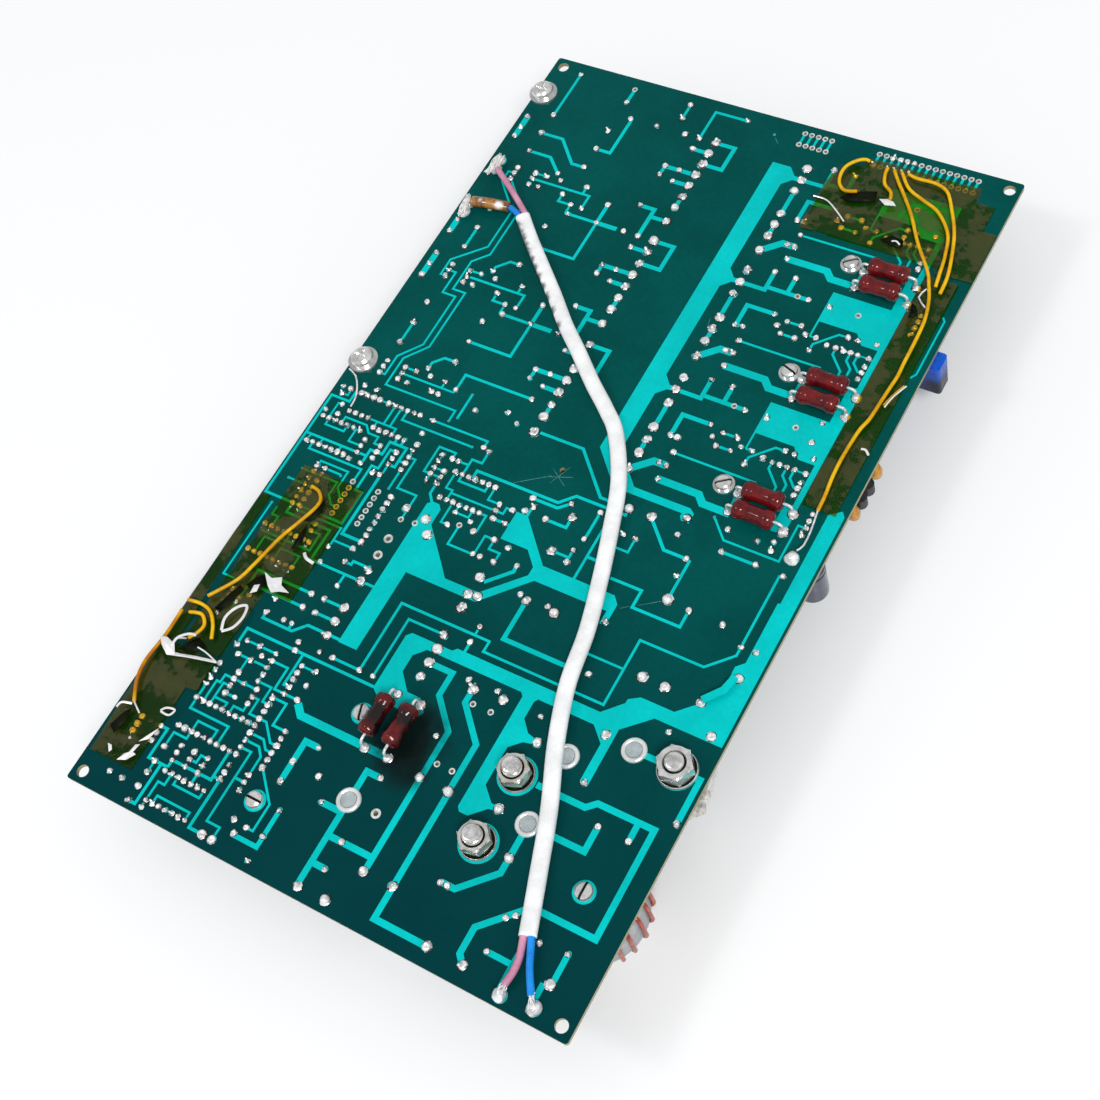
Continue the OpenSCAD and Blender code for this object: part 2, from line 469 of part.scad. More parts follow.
control_track_shares = [
    [0.25, [[7.25, 61], [8.75, 61]]],
    [0.3, [[9.75, 61], [9.75, 64]]],
    [0.3, [[10.75, 61], [10.75, 64]]],
    [0.3, [[11.75, 61], [11.75, 62.5], [22.75, 62.5]]],
    [0.3, [[15.75, 61], [24.25, 61], [24.25, 62]]],
    [0.25, [[1.75, 62], [2.6, 62], [2.6, 61]]],
    [0.35, [[3.4, 61], [3.4, 62.75], [0.45, 62.75], [0.45, 78.75], [12.75, 78.75],
        [12.75, 73.9], [11.75, 73.9], [11.75, 70], [12.8, 70], [12.8, 67], [13.75, 67]]],
    [0.25, [[2.75, 63.5], [2.1, 63.5], [2.1, 66]]],
    [0.28, [[7.25, 64], [11.75, 64], [11.75, 65]]],
    [0.25, [[8.75, 64], [8.75, 65]]],
    [0.28, [[4.25, 66], [4.25, 65], [7.7, 65], [8.6, 65.95], [10.2, 65.95], [10.2, 67],
        [11.25, 67]]],
    [0.28, [[2.25, 66], [2.25, 67], [5.25, 67], [5.25, 66]]],
    [0.28, [[6.7, 66], [6.7, 68], [8.75, 68]]],
    [0.38, [[12.75, 65], [12.75, 66]]],
    [0.38, [[13.75, 65], [13.75, 66]]],
    [0.38, [[13.75, 69], [14.75, 69], [14.75, 66], [12.1, 66], [12.1, 68], [10.25, 68],
        [10.25, 70.25]]],
    [0.3, [[15.75, 66], [15.75, 67], [16.75, 67], [16.75, 71.5], [19.75, 71.5],
        [19.75, 75.25]]],
    [0.3, [[14.75, 68], [15.75, 68]]],
    [0.3, [[15.75, 69], [15.75, 72]]],
    [0.3, [[13.75, 69], [13.75, 70.75]]],
    [0.42, [[13.65, 70.75], [13.65, 80], [16.75, 80]]],
    [0.35, [[0.45, 69], [10.25, 69]]],
    [0.3, [[1.25, 69], [1.25, 70]]],
    [0.3, [[3.25, 69], [3.25, 70]]],
    [0.3, [[6.25, 69], [6.25, 70]]],
    [0.3, [[2.25, 70], [2.25, 71], [10.75, 71], [10.75, 73]]],
    [0.28, [[4.9, 72.75], [4.9, 72], [9.3, 72], [9.3, 74.5], [10.75, 76]]],
    [0.3, [[6.1, 72.75], [8.6, 72.75]]],
    [0.28, [[10.75, 77], [9.9, 77], [8.8, 75.9], [8.8, 73.9], [3.2, 73.9]]],
    [0.25, [[2.2, 75.8], [6.1, 75.8]]],
    [0.28, [[6.1, 78.75], [6.1, 79.4], [13.1, 79.4], [13.1, 82.25]]],
    [0.3, [[13.1, 81.25], [16.25, 81.25]]],
    [0.35, [[4.9, 78.75], [4.9, 80.25], [11.9, 80.25], [11.9, 84.75], [21.75, 84.75]]],
    [0.35, [[17.25, 84.75], [17.25, 86.5]]],
    [0.3, [[9.6, 81.25], [11, 81.25], [11, 83.75], [3.25, 83.75]]],
    [0.25, [[3.25, 80], [3.25, 81.25], [4.25, 81.25], [4.25, 82.75]]],
    [0.25, [[4.25, 86.75], [4.25, 84.4], [7.25, 84.4], [7.25, 82.75]]],
    [0.25, [[7.25, 86.75], [7.25, 85], [10.25, 85], [10.25, 86.75]]],
    [0.38, [[6.25, 95], [6.25, 88.75], [14.75, 88.75]]],
    [0.38, [[16.75, 88.75], [19.75, 88.75]]],
    [0.38, [[7.25, 90.75], [14.75, 90.75]]],
    [0.38, [[16.75, 90.75], [19.75, 90.75]]],
    [0.25, [[2.2, 79.8], [2.2, 91], [4, 91]]],
    [0.38, [[10.75, 93.25], [10.75, 94.1], [15.3, 94.1], [16.8, 92.6], [21.75, 92.6]]],
    [0.38, [[14.75, 93.25], [14.75, 94.1]]],
    [0.35, [[16.25, 83.25], [17.25, 83.25], [17.25, 82.75], [19.75, 82.75]]],
    [0.35, [[22.25, 95], [26.25, 95], [26.25, 85.2], [36.85, 85.2]]],
    [0.38, [[29.1, 96.1], [9.75, 96.1], [9.75, 98.5]]],
    [0.35, [[18.5, 96.1], [18.5, 100.5], [19.25, 100.5]]],
    [0.3, [[10.75, 97.5], [15.25, 97.5]]],
    [0.28, [[19.25, 97.5], [21.25, 97.5]]],
    [0.32, [[15.25, 98.5], [17.75, 98.5], [17.75, 101.5], [21.25, 101.5]]],
    [0.3, [[10.75, 99.5], [15.25, 99.5]]],
    [0.28, [[12.25, 99.5], [12.25, 101.5]]],
    [0.3, [[15.25, 100.5], [15.25, 101.5], [17.3, 101.5], [17.3, 103.5], [18.25, 103.5]]],
    [0.3, [[15.75, 102.5], [10.8, 102.5], [10.8, 103.6], [10.25, 103.6], [10.25, 106.5]]],
    [0.3, [[12.25, 103.5], [11.25, 103.5], [11.25, 106.5]]],
    [0.3, [[11.25, 105.5], [13.25, 105.5], [13.25, 106.5]]],
    [0.35, [[12.25, 104.5], [13.75, 104.5]]],
    [0.3, [[15.75, 104.5], [15.75, 105.5], [14.25, 105.5], [14.25, 106.5]]],
    [0.3, [[15.75, 103.5], [16.7, 103.5], [16.7, 105.5], [19.3, 105.5], [21.3, 107.5],
        [22.25, 107.5]]],
    [0.32, [[18.25, 102.5], [20.3, 102.5], [20.3, 105.5], [22.25, 105.5]]],
    [0.3, [[18.25, 107.5], [20.3, 107.5], [21.3, 108.5], [22.25, 108.5]]],
    [0.3, [[18.25, 108.5], [20.3, 108.5], [21.25, 109.5], [21.25, 112]]],
    [0.3, [[18.25, 109.5], [19.8, 109.5], [19.8, 118.9], [21.75, 118.9], [21.75, 120.5]]],
    [0.35, [[19.8, 113], [21.25, 113]]],
    [0.32, [[9.25, 104.5], [9.25, 108], [15.25, 108], [15.25, 110.5]]],
    [0.3, [[14.25, 110.5], [14.25, 109], [11.25, 109], [11.25, 111.5], [9.25, 111.5],
        [9.25, 113.5]]],
    [0.25, [[9.25, 110.5], [10.25, 110.5]]],
    [0.25, [[12.25, 110.5], [13.25, 110.5]]],
    [0.25, [[15.25, 106.5], [18.25, 106.5]]],
    [0.3, [[22.25, 110.5], [25.7, 113.95], [25.7, 117.5], [24.75, 117.5]]],
    [0.38, [[7.25, 111.5], [8.25, 111.5], [8.25, 115.5], [11.25, 115.5]]],
    [0.38, [[11.25, 115.5], [11.25, 114.5], [17.25, 114.5], [17.25, 110.5]]],
    [0.35, [[17.25, 114], [18.25, 114]]],
    [0.35, [[15.25, 114.5], [15.25, 116]]],
    [0.4, [[10.25, 115.5], [10.25, 121], [9.25, 121]]],
    [0.25, [[9.25, 115.5], [9.25, 117]]],
    [0.3, [[12.25, 116], [12.25, 117.5], [11.25, 117.5], [11.25, 121]]],
    [0.3, [[13.25, 116], [13.25, 117], [17.25, 117], [17.25, 116]]],
    [0.3, [[12.25, 120], [12.25, 119], [17.25, 119], [17.25, 120]]],
    [0.32, [[13.25, 113.5], [14.25, 113.5], [14.25, 112.5], [15.25, 112.5]]],
    [0.4, [[18.25, 114], [18.25, 120.5], [20.25, 120.5]]],
    [0.3, [[21.25, 65], [21.25, 64.1], [18.7, 64.1], [18.7, 68], [21.25, 68]]],
    [0.25, [[19.75, 65], [19.75, 66]]],
    [0.28, [[19.75, 67], [21.25, 67]]],
    [0.25, [[19.75, 68], [19.75, 69]]],
    [0.3, [[22.25, 65], [23.75, 65]]],
    [0.32, [[25.25, 62.25], [25.25, 64.1], [23.75, 64.1], [23.75, 67.5], [27.75, 67.5],
        [27.75, 66.5]]],
    [0.28, [[22.75, 66.5], [22.75, 69], [23.75, 69], [23.75, 70.5]]],
    [0.28, [[23.75, 69.4], [31.6, 69.4], [31.6, 68.5], [32.5, 68.5]]],
    [0.28, [[28.75, 66.5], [28.75, 68.4], [30.5, 68.4]]],
    [0.35, [[21.25, 69], [21.25, 70.5], [22.4, 71.8]]],
    [0.28, [[24.75, 70.5], [24.75, 73.5], [25.75, 73.5]]],
    [0.28, [[25.75, 70.5], [25.75, 71.6], [27.75, 71.6], [27.75, 70.5]]],
    [0.3, [[28.75, 70.5], [29.75, 70.5], [29.75, 73]]],
    [0.3, [[27.25, 73], [27.25, 75.85], [31, 75.85]]],
    [0.3, [[31.1, 75.75], [31.1, 73], [32.5, 73], [32.5, 74.4], [34.1, 74.4], [34.1, 75.75]]],
    [0.6, [[27.25, 114], [27.25, 118.9], [23.75, 118.9]]],
    [0.8, [[27.25, 105.5], [25.25, 105.5], [25.25, 111]]],
    [0.32, [[28.25, 95], [28.25, 86.7], [32.9, 86.7]]],
    [0.4, [[25.25, 66.5], [25.25, 65.3], [33, 65.3]]],
    [0.38, [[30.75, 70.5], [33.1, 70.5]]]
];
control_plane_shares = [
    [21.65, 71.9], [22.2, 71.4], [23.2, 71.4], [23.8, 72], [23.8, 74.3], [29.5, 80.1],
    [32.6, 80.1], [32.6, 81.35], [24.4, 81.35], [24.4, 92.9], [21.65, 92.9]
];
output_track_shares = [
    [1, [[21.6, 101.85], [22.8, 103], [35.5, 103]]],
    [0.32, [[36.85, 85.2], [39.1, 85.2], [39.1, 86.65], [55.75, 86.65], [55.75, 77.7],
        [64.2, 77.7], [67, 74.9], [67, 63.6]]],
    [0.4, [[30, 57.25], [36.4, 57.25], [41.9, 62.6], [46, 62.6]]],
    [0.4, [[33, 65.3], [37.3, 65.3], [39, 63.6], [46, 63.6], [46, 62.6]]],
    [0.4, [[34, 66], [37.6, 66], [39, 64.75]]],
    [0.4, [[34.75, 67], [34.6, 67.4], [34.6, 68.6]]],
    [0.4, [[37, 68], [40, 68], [40, 66.5]]],
    [0.38, [[42.95, 64.5], [42.95, 68.5]]],
    [0.35, [[44.4, 66], [44.4, 74]]],
    [0.4, [[44.4, 70.5], [47.5, 70.5]]],
    [0.35, [[40, 71.5], [42.4, 71.5], [42.4, 70.4]]],
    [0.3, [[48.75, 66], [48.75, 68], [46.8, 68]]],
    [0.38, [[48.5, 71.9], [52.8, 71.9], [52.8, 74.3], [59.25, 74.3], [59.25, 72]]],
    [0.42, [[49, 62.5], [52.65, 66], [55.75, 66]]],
    [0.38, [[56.25, 66], [56.25, 71.75]]],
    [0.4, [[59.25, 63.5], [63.75, 63.5]]],
    [0.3, [[50.5, 81.75], [55.75, 81.75]]],
    [0.6, [[40.5, 78.75], [40.5, 84.2], [50, 84.2]]],
    [0.5, [[37, 75], [37, 75.9], [34.3, 78.6]]],
    [0.3, [[37, 84], [37, 85.2]]],
    [0.38, [[37, 86.25], [37, 87.8]]],
    [0.75, [[33.7, 90.6], [37.1, 90.6], [37.1, 93.7], [40.6, 97.2], [40.6, 103.5]]],
    [0.75, [[40.5, 91.25], [40.5, 93.2], [44.5, 97.2], [44.5, 103.5]]],
    [0.8, [[40.6, 103.5], [40.6, 115.75]]],
    [0.8, [[34.25, 114], [40.6, 114]]],
    [0.8, [[44.6, 103.5], [44.6, 119.8], [51.75, 119.8]]],
    [0.8, [[36.25, 105.5], [34.25, 105.5], [34.25, 120.5]]],
    [0.8, [[31.25, 111], [34.25, 111]]],
    [0.8, [[34.25, 117.5], [36.25, 117.5]]],
    [0.75, [[61.75, 90.1], [70.2, 90.1], [70.2, 95.75]]],
    [0.78, [[53.5, 98.4], [59.9, 98.4], [61, 97.4], [68.3, 97.4], [68.3, 110.9],
        [60.2, 110.9], [55.5, 115.6], [55.5, 118.8], [56.4, 119.75]]],
    [0.75, [[66.3, 97.4], [66.3, 99.75]]],
    [0.78, [[62.35, 99.75], [62.35, 102.9], [55, 102.9], [55, 109.1], [51.2, 112.9],
        [49.5, 112.9]]],
    [0.7, [[58.1, 117.3], [61.4, 117.3]]],
    [0.6, [[61.4, 116], [61.4, 120.5]]],
    [0.7, [[66.4, 113.6], [66.4, 117.25]]],
    [0.7, [[65.5, 117.5], [65.5, 120.2]]]
];
output_plane_shares = [
    [[32.6, 80.1], [34.4, 80.1], [38.95, 75.6], [38.95, 74.4], [37.1, 72.55], [33.1, 72.55],
        [33.1, 68.45], [34.7, 68.45], [40, 73.75], [50.1, 73.75], [51, 74.7], [51, 77.7],
        [50.2, 77.7], [50.2, 75.95], [40, 75.95], [34.7, 81.35], [32.6, 81.35]],
    [[29.1, 88.7], [29.7, 88.1], [35.5, 88.1], [36, 87.6], [55.85, 87.6], [58, 85.4],
        [58, 84.9], [59.3, 84.05], [63.7, 84.05], [65.5, 82.3], [67, 79.6], [67.5, 78],
        [67.5, 76.2], [68.4, 75.3], [68.4, 67], [68.7, 66.9], [68.7, 54.1], [70.1, 53],
        [70.65, 53.7], [70.65, 85.7], [62, 85.7], [58.9, 88.6], [58.9, 95.9],
        [57.8, 95.9], [57.8, 91], [55.9, 89.25], [48.35, 89.25], [48.05, 89.7], [48.05, 92],
        [49.4, 93.4], [51, 93.75], [51, 94.25], [49.4, 94.6], [48.05, 95.9],
        [48.05, 100.9], [49.8, 102.5], [51, 102.6], [51, 103], [49.8, 103.3],
        [48.05, 105], [46.9, 105], [46.45, 104.5], [46.45, 89.7], [46, 89.25],
        [32.6, 89.25], [31.3, 90.6], [31.3, 92.9], [33.3, 94.95], [35.2, 94.95],
        [36.6, 96.4], [36, 97.3], [30.6, 97.3], [29.1, 96.2]]
];

// Tape patches, as outlines in shares of the pitch
tape_shares = [
    [[46.4, 8.4], [47.3, 4.9], [50.6, 2.6], [66.2, 2.6], [66.6, 4.9], [69, 4.8], [69, 9],
        [70.9, 9], [70.9, 17], [66, 17.2], [65.4, 16.3], [56.5, 16.3], [50, 16], [46.4, 16.4]],
    [[65.1, 17.8], [69.4, 17.8], [69.6, 52.3], [69.6, 54], [65.9, 54], [65.1, 52.9]],
    [[3.3, 73.4], [12.9, 73.8], [12.8, 90.9], [9, 91.2], [8.7, 101], [2.6, 101], [3, 90]],
    [[0.1, 79], [1.5, 79], [1.7, 90], [2.3, 101.5], [8.9, 101.5], [8.9, 105.9], [7.2, 106],
        [7.2, 117.8], [0.7, 117.8], [0.1, 100]]
];

// Parts below the board
transformer_shares = [[36.25, 14.25], [36.25, 32.25], [36.25, 50.25], [26.65, 85.5]];
filter_shares = [[42.5, 78.75], [42.5, 91.1], [42.5, 103.5], [42.5, 115.75]];
small_can_shares = [
    [13.75, 11.75], [4.75, 11.75], [13.75, 29.75], [13.75, 46.75], [22.75, 3.25], [60.5, 60.5],
    [16.5, 62.3], [27.25, 107], [69.2, 60.7]
];
film_shares = [[55.5, 8.5, 0], [55.5, 26.5, 0], [55.5, 44.5, 0], [68.75, 28.85, 0], [34, 114, 1]];
// Chips: [across, along, pins, rows apart]
chip_shares = [
    [4.25, 61, 4, 3], [8.75, 61, 6, 4], [1.25, 66, 7, 4], [22.75, 66.5, 7, 4],
    [3.25, 82.75, 8, 4], [9.25, 106.5, 10, 4], [11.25, 116, 7, 4]
];
// Axial parts: [first pin, second pin]
axial_shares = [
    [[4.75, 31.5], [4.75, 35]], [[4.75, 48.5], [4.75, 52]], [[13.25, 22.25], [17, 22.25]],
    [[13.25, 40.25], [17, 40.25]], [[51.75, 12.1], [51.75, 15.5]], [[53.75, 12.1], [53.75, 15.5]],
    [[51.75, 30.1], [51.75, 33.5]], [[53.75, 30.1], [53.75, 33.5]], [[51.75, 48.1], [51.75, 51.5]],
    [[53.75, 48.1], [53.75, 51.5]], [[59.25, 68], [63.75, 68]], [[59.25, 72], [63.75, 72]],
    [[10.75, 97.5], [15.25, 97.5]], [[10.75, 99.5], [15.25, 99.5]], [[12.25, 102.5], [15.75, 102.5]],
    [[12.25, 104.5], [15.75, 104.5]], [[11.25, 112.5], [15.25, 112.5]], [[11.25, 114.25], [15.25, 114.25]]
];
// Headers: [across, along, columns, rows]
header_shares = [
    [58.25, 2.5, 15, 2], [5.5, 75.75, 2, 7], [15.75, 76.5, 3, 8], [1.3, 39.25, 1, 5], [1.3, 13.4, 1, 5]
];
edge_bead_shares = [[70.4, 44.9], [70.4, 51.2]];
edge_transistor_shares = [[70.5, 47.4], [70.5, 49.4]];
// Shares of the board along which the stages and the control parts reach
stage_reach_share = 70;
control_reach_share = 30;
choke_share = slot_screw_shares[5];

// Profiles of turned parts, as [share of the radius, share of the height]
joint_profile_shares = [[0, 0], [1, 0], [0.86, 0.14], [0.6, 0.36], [0.4, 0.7], [0.34, 1], [0, 1]];
disc_profile_shares = [
    [0, 0], [1, 0], [1, 0.45], [0.95, 0.8], [0.88, 1], [0.76, 1], [0.68, 0.8], [0.64, 0.6],
    [0, 0.6]
];
heap_profile_shares = [[0, 0], [1, 0], [0.97, 0.25], [0.82, 0.6], [0.55, 0.88], [0.25, 1], [0, 1]];
cap_profile_shares = [[0, 0], [1, 0], [1, 0.35], [0.7, 0.5], [0.3, 0.55], [0.3, 1], [0, 1]];
can_groove_share = 0.12;
can_neck_share = 0.92;
body_neck_share = 0.82;
body_cuff_share = 0.2;

// Routes of the wiring, as round millimetres [x, y, height] from the origin
sleeve_route = [
    [-63.2, 83, 3.2], [-55.2, 75.2, 2.9], [-45.2, 66.2, 2.9], [-35, 57, 2.8], [-25.8, 48.2, 2.8],
    [-16, 40, 3.6], [-6, 31.4, 2.8], [3, 24.4, 1.9], [10.4, 17.4, 1.8], [19.8, 2.4, 2.3],
    [26, -13.6, 2.8], [31, -29.4, 2.1], [36, -47, 2.1], [39.6, -64.8, 2.9], [45.8, -82.6, 2.9],
    [53.8, -100.6, 2.4], [60.4, -118.2, 2.2], [66.8, -134.8, 3]
];
pink_start_route = [
    [-82.9, 98.4, 3.2], [-79.4, 96, 3.6], [-74, 92.4, 3.6], [-68.4, 88.4, 3.4], [-62.8, 84.2, 3.2]
];
pink_end_route = [
    [65.9, -135.7, 3], [67.4, -140.4, 2.6], [67.9, -144.6, 2.5], [67.4, -149, 2.5]
];
blue_start_route = [[-69.4, 84.8, 3.2], [-68, 84.4, 3.2], [-66.2, 83.6, 3.2], [-64.4, 82.5, 3.2]];
blue_end_route = [
    [68.1, -134.9, 3], [69.9, -138.6, 2.8], [71.7, -142.2, 2.6], [74.4, -146.4, 2.5],
    [75.7, -148.2, 2.5]
];
splice_route = [[-84, 82.8, 3], [-79, 83.6, 3.2], [-74, 84.4, 3.2], [-70, 84.8, 3.2]];
// The yellow wires' heights are counted from where they lie on the tape
yellow_routes = [
    [[39, 145.8, 0], [37.2, 146, 0], [35, 144.8, 0], [32.6, 141.8, 0], [32, 138.2, 0],
        [33.2, 134, 0], [36.2, 131.6, 0], [40.4, 132.6, 0]],
    [[45.8, 145, 0], [46.2, 142, 0], [47.8, 138.4, 0], [51, 136, 0], [52.2, 133, 0]],
    [[48.2, 145, 0], [51.6, 140.8, 0], [56.2, 135.6, 0], [61.6, 129, 0], [68, 119.6, 0],
        [75.4, 110.4, 0], [78.2, 105.2, 0], [80.6, 99.8, 0], [82.4, 92.8, 0], [83, 85, 0],
        [83.2, 75, 0], [83.4, 69.8, 0], [83, 64.8, 0], [82.6, 59.8, 0], [82, 52.2, 0],
        [80.8, 47, 0], [80.2, 37, 0], [80.4, 29.4, 0], [81.2, 22, 0], [81.4, 16.8, 0]],
    [[51, 145, 0], [56, 139.4, 0], [62.4, 136.4, 0], [69, 133.4, 0], [75.4, 126.4, 0],
        [78.2, 118, 0], [79.6, 110.4, 0.2], [80.4, 105.4, 0]],
    [[53.4, 145, 0], [56.8, 144.2, 0], [63.6, 144.2, 0], [68.6, 142, 0], [73.2, 135, 0],
        [77, 128, 0.4], [79.6, 121, 0.4], [82.2, 111, 0], [82.8, 103.4, 0]],
    [[-73.8, -38, 0], [-70.4, -38.8, 0], [-68, -41.4, 0], [-68.2, -45.2, 0], [-70.4, -51.6, 0],
        [-73, -59, 0], [-75.2, -69.2, 0], [-77.4, -76.8, 0], [-83.2, -85.6, 0]],
    [[-88.6, -89.4, 0], [-83.6, -88.8, 0], [-79.2, -89.8, 0], [-75.6, -93.2, 0], [-73, -97.6, 0]],
    [[-85.6, -92.8, 0], [-81.2, -91.8, 0], [-78.2, -94.4, 0], [-78.6, -97.6, 0], [-80.4, -100.4, 0]],
    [[-88.4, -93, 0], [-88.2, -98, 0], [-88.2, -104, 0], [-88.8, -109.6, 0], [-88.8, -114.2, 0],
        [-87.6, -119, 0], [-85.4, -123, 0], [-83.8, -125.6, 0]]
];
bare_routes = [
    [[-88.4, 6.4, 0.9], [-84.4, 4.6, 1.4], [-81.2, 0.8, 1.6], [-79.4, -3, 1.6], [-79, -6.6, 1.6]],
    [[81.4, 16.8, 2], [82.4, 10, 1.8], [82.6, 4.6, 1.8], [81.6, 2, 2.2]],
    [[-80.9, -100.8, 2], [-83.8, -102, 1.9], [-84.2, -104.6, 1.9], [-81.6, -106.6, 1.9],
        [-75, -105, 1.9], [-67.4, -103.4, 1.9]],
    [[-83.8, -125.6, 2], [-82, -126.8, 1.8], [-80, -128, 1.8]],
    [[86.4, 68, 0.7], [84.4, 63, 0.8], [83.4, 59, 0.9]],
    [[78, 103.8, 1.8], [77, 100, 1.8], [80.6, 97, 1.8]]
];
route_sides = 8;
route_steps = 2;
strap_route_shares = [[68.4, 77.6], [67.9, 79.6], [66.2, 81.7]];

// Sizes that follow from the others
tape_top = copper_t + small_joint_h + tape_t;
thin_lie = thin_d / 2 * cos(180 / route_sides) + wire_gap;
// Share of the way from a joint to its wire that the bare lead leaves free
lead_free_share = 0.35;
core_top = (rest_depth - core_t) / 2;
coil_w = core_w - core_leg - 2 * coil_gap;
coil_h = rest_depth - 2 * coil_inset;
core_window = core_l - 2 * core_back;
side_leg = core_leg / 2;
rail_x = (stage_pin_u_shares[1] - stage_pin_u_shares[0]) * pitch / 2;
case_mid_x = case_hole_inset - case_l / 2;
bead_profile_shares = [[0, 0], [0.3, 0], [0.3, 0.3], [0.75, 0.4], [1, 0.6], [0.9, 0.85], [0.5, 1], [0, 1]];
screw_profile_shares = [[0, 0], [1, 0], [1, 0.4], [0.92, 0.75], [0.7, 1], [0, 1]];

// Placing and drawing

function place(p) = [p[0] * pitch - board_w / 2, board_l / 2 - p[1] * pitch];
function blocks(list, offsets) = [for (o = offsets) for (p = list) [p[0], p[1] + o]];
function rows_of(list) = [for (r = list) for (i = [0:r[2] - 1]) [r[0] + i, r[1]]];
function columns_of(list) = [for (r = list) for (i = [0:r[2] - 1]) [r[0], r[1] + i]];
function unit(v) = v / norm(v);
function left_of(v) = [-v[1], v[0]];
function stage_offsets() = [for (k = stages) k * stage_step_share];
function pair_offsets() = [0, stage_step_share];
function has(list, value) = len([for (v = list) if (v == value) v]) > 0;

// Offset of a track's outline at one point of its route, square to the ends and mitred between
function mitre(p, i, half) =
    let (
        last = len(p) - 1,
        a = i == 0 ? unit(p[1] - p[0]) : unit(p[i] - p[i - 1]),
        b = i == last ? a : unit(p[i + 1] - p[i]),
        n = unit(left_of(a) + left_of(b))
    )
    n * half / (n * left_of(a));

function outline(p, w) = concat(
    [for (i = [0:len(p) - 1]) p[i] + mitre(p, i, w / 2)],
    [for (i = [len(p) - 1:-1:0]) p[i] - mitre(p, i, w / 2)]
);

// Point at share t between the second and third of four route points, on a smooth curve
function between(a, b, c, d, t) =
    b + (c - a) * t / 2 + (2 * a - 5 * b + 4 * c - d) * t * t / 2
    + (3 * b - a - 3 * c + d) * t * t * t / 2;

function smooth(p) = concat(
    [for (i = [0:len(p) - 2]) for (s = [0:route_steps - 1])
        between(p[max(i - 1, 0)], p[i], p[i + 1], p[min(i + 2, len(p) - 1)], s / route_steps)],
    [p[len(p) - 1]]
);

function tangent(p, i) = unit(p[min(i + 1, len(p) - 1)] - p[max(i - 1, 0)]);

function route_ring(p, i, w, h) =
    let (
        t = tangent(p, i),
        s = unit(cross(t, [0, 0, 1])),
        u = cross(s, t)
    )
    [for (k = [0:route_sides - 1])
        let (a = (k + 1 / 2) * 360 / route_sides) p[i] + s * cos(a) * w / 2 + u * sin(a) * h / 2];

// A wire or sleeve along a route, as one closed tube
module tube(route, w, h) {
    p = smooth(route);
    n = route_sides;
    last = len(p) - 1;
    polyhedron(
        points = [for (i = [0:last]) each route_ring(p, i, w, h)],
        faces = concat(
            [[for (k = [0:n - 1]) k]],
            [for (i = [0:last - 1]) for (k = [0:n - 1])
                [i * n + k, (i + 1) * n + k, (i + 1) * n + (k + 1) % n, i * n + (k + 1) % n]],
            [[for (k = [n - 1:-1:0]) last * n + k]]
        ),
        convexity = 4
    );
}

module at_place(p, z = 0) {
    translate([place(p)[0], place(p)[1], z]) children();
}

module under_board() {
    translate([0, 0, -board_t]) mirror([0, 0, 1]) children();
}

// A rectangle with round corners, about the origin
module rounded(w, l, r) {
    square([w - 2 * r, l], center = true);
    square([w, l - 2 * r], center = true);
    for (x = [-1, 1]) for (y = [-1, 1])
        translate([x * (w / 2 - r), y * (l / 2 - r)]) circle(r, $fn = facets);
}

module turned(profile, r, h) {
    rotate_extrude($fn = facets) polygon([for (s = profile) [s[0] * r, s[1] * h]]);
}

module track(entry, offset = 0) {
    route = [for (p = entry[1]) place([p[0], p[1] + offset])];
    linear_extrude(copper_t) polygon(outline(route, entry[0] * pitch));
}

module tracks(list, offsets = [0]) {
    for (o = offsets) for (entry = list) track(entry, o);
}

module plane(points, offset = 0) {
    linear_extrude(copper_t) polygon([for (p = points) place([p[0], p[1] + offset])]);
}

module lands(points, d) {
    for (p = points) at_place(p) cylinder(h = copper_t, d = d, $fn = facets);
}

module joints(points, d, h) {
    for (p = points) at_place(p, copper_t) turned(joint_profile_shares, d / 2, h);
}

module drills(points, d, depth = board_t) {
    for (p = points)
        at_place(p, -depth - overrun)
            cylinder(h = depth + copper_t + 2 * overrun, d = d, $fn = facets);
}

// Lists of places

stage_pins = [for (u = stage_pin_u_shares) for (v = stage_pin_v_shares)
    if (!(u == stage_pin_u_shares[1] && v == 13)) [u, v]];
stage_small = concat(blocks(stage_joint_shares, stage_offsets()), stage_single_shares);
stage_large = blocks(stage_pins, stage_offsets());
stage_rings = concat(
    blocks(stage_ring_shares, stage_offsets()),
    [for (u = ladder_u_shares) for (v = plug_v_shares) [u, v]],
    [for (i = [0:len(plug_u_shares) - 1]) for (k = [0, 1])
        if (!has([filled_columns, wired_columns][k], i)) [plug_u_shares[i], plug_v_shares[k]]]
);
wired_joints = [for (i = wired_columns) [plug_u_shares[i], plug_v_shares[1]]];
plug_joints = concat(wired_joints, [for (i = filled_columns) [plug_u_shares[i], plug_v_shares[0]]]);
driver_small = concat(
    blocks(driver_joint_shares, driver_offset_shares),
    blocks(driver_pair_joint_shares, pair_offsets()), driver_single_shares
);
control_small = concat(
    rows_of(control_row_shares), columns_of(control_column_shares), control_single_shares
);
control_rings = concat(columns_of(ring_column_shares), ring_single_shares);
// The shares of a list that lie in the control part, and those past it
function near(list) = [for (p = list) if (p[0] < control_reach_share) p];
function far(list) = [for (p = list) if (p[0] >= control_reach_share) p];
function early(list) = [for (p = list) if (p[1] < stage_reach_share) p];
function late(list) = [for (p = list) if (p[1] >= stage_reach_share) p];
resistor_ends = [for (r = resistor_shares) for (s = [-1, 1])
    let (reach = s * resistor_span / pitch / 2)
    r[2] == 0 ? [r[0] + reach, r[1]] : [r[0], r[1] + reach]];

// The board and its copper

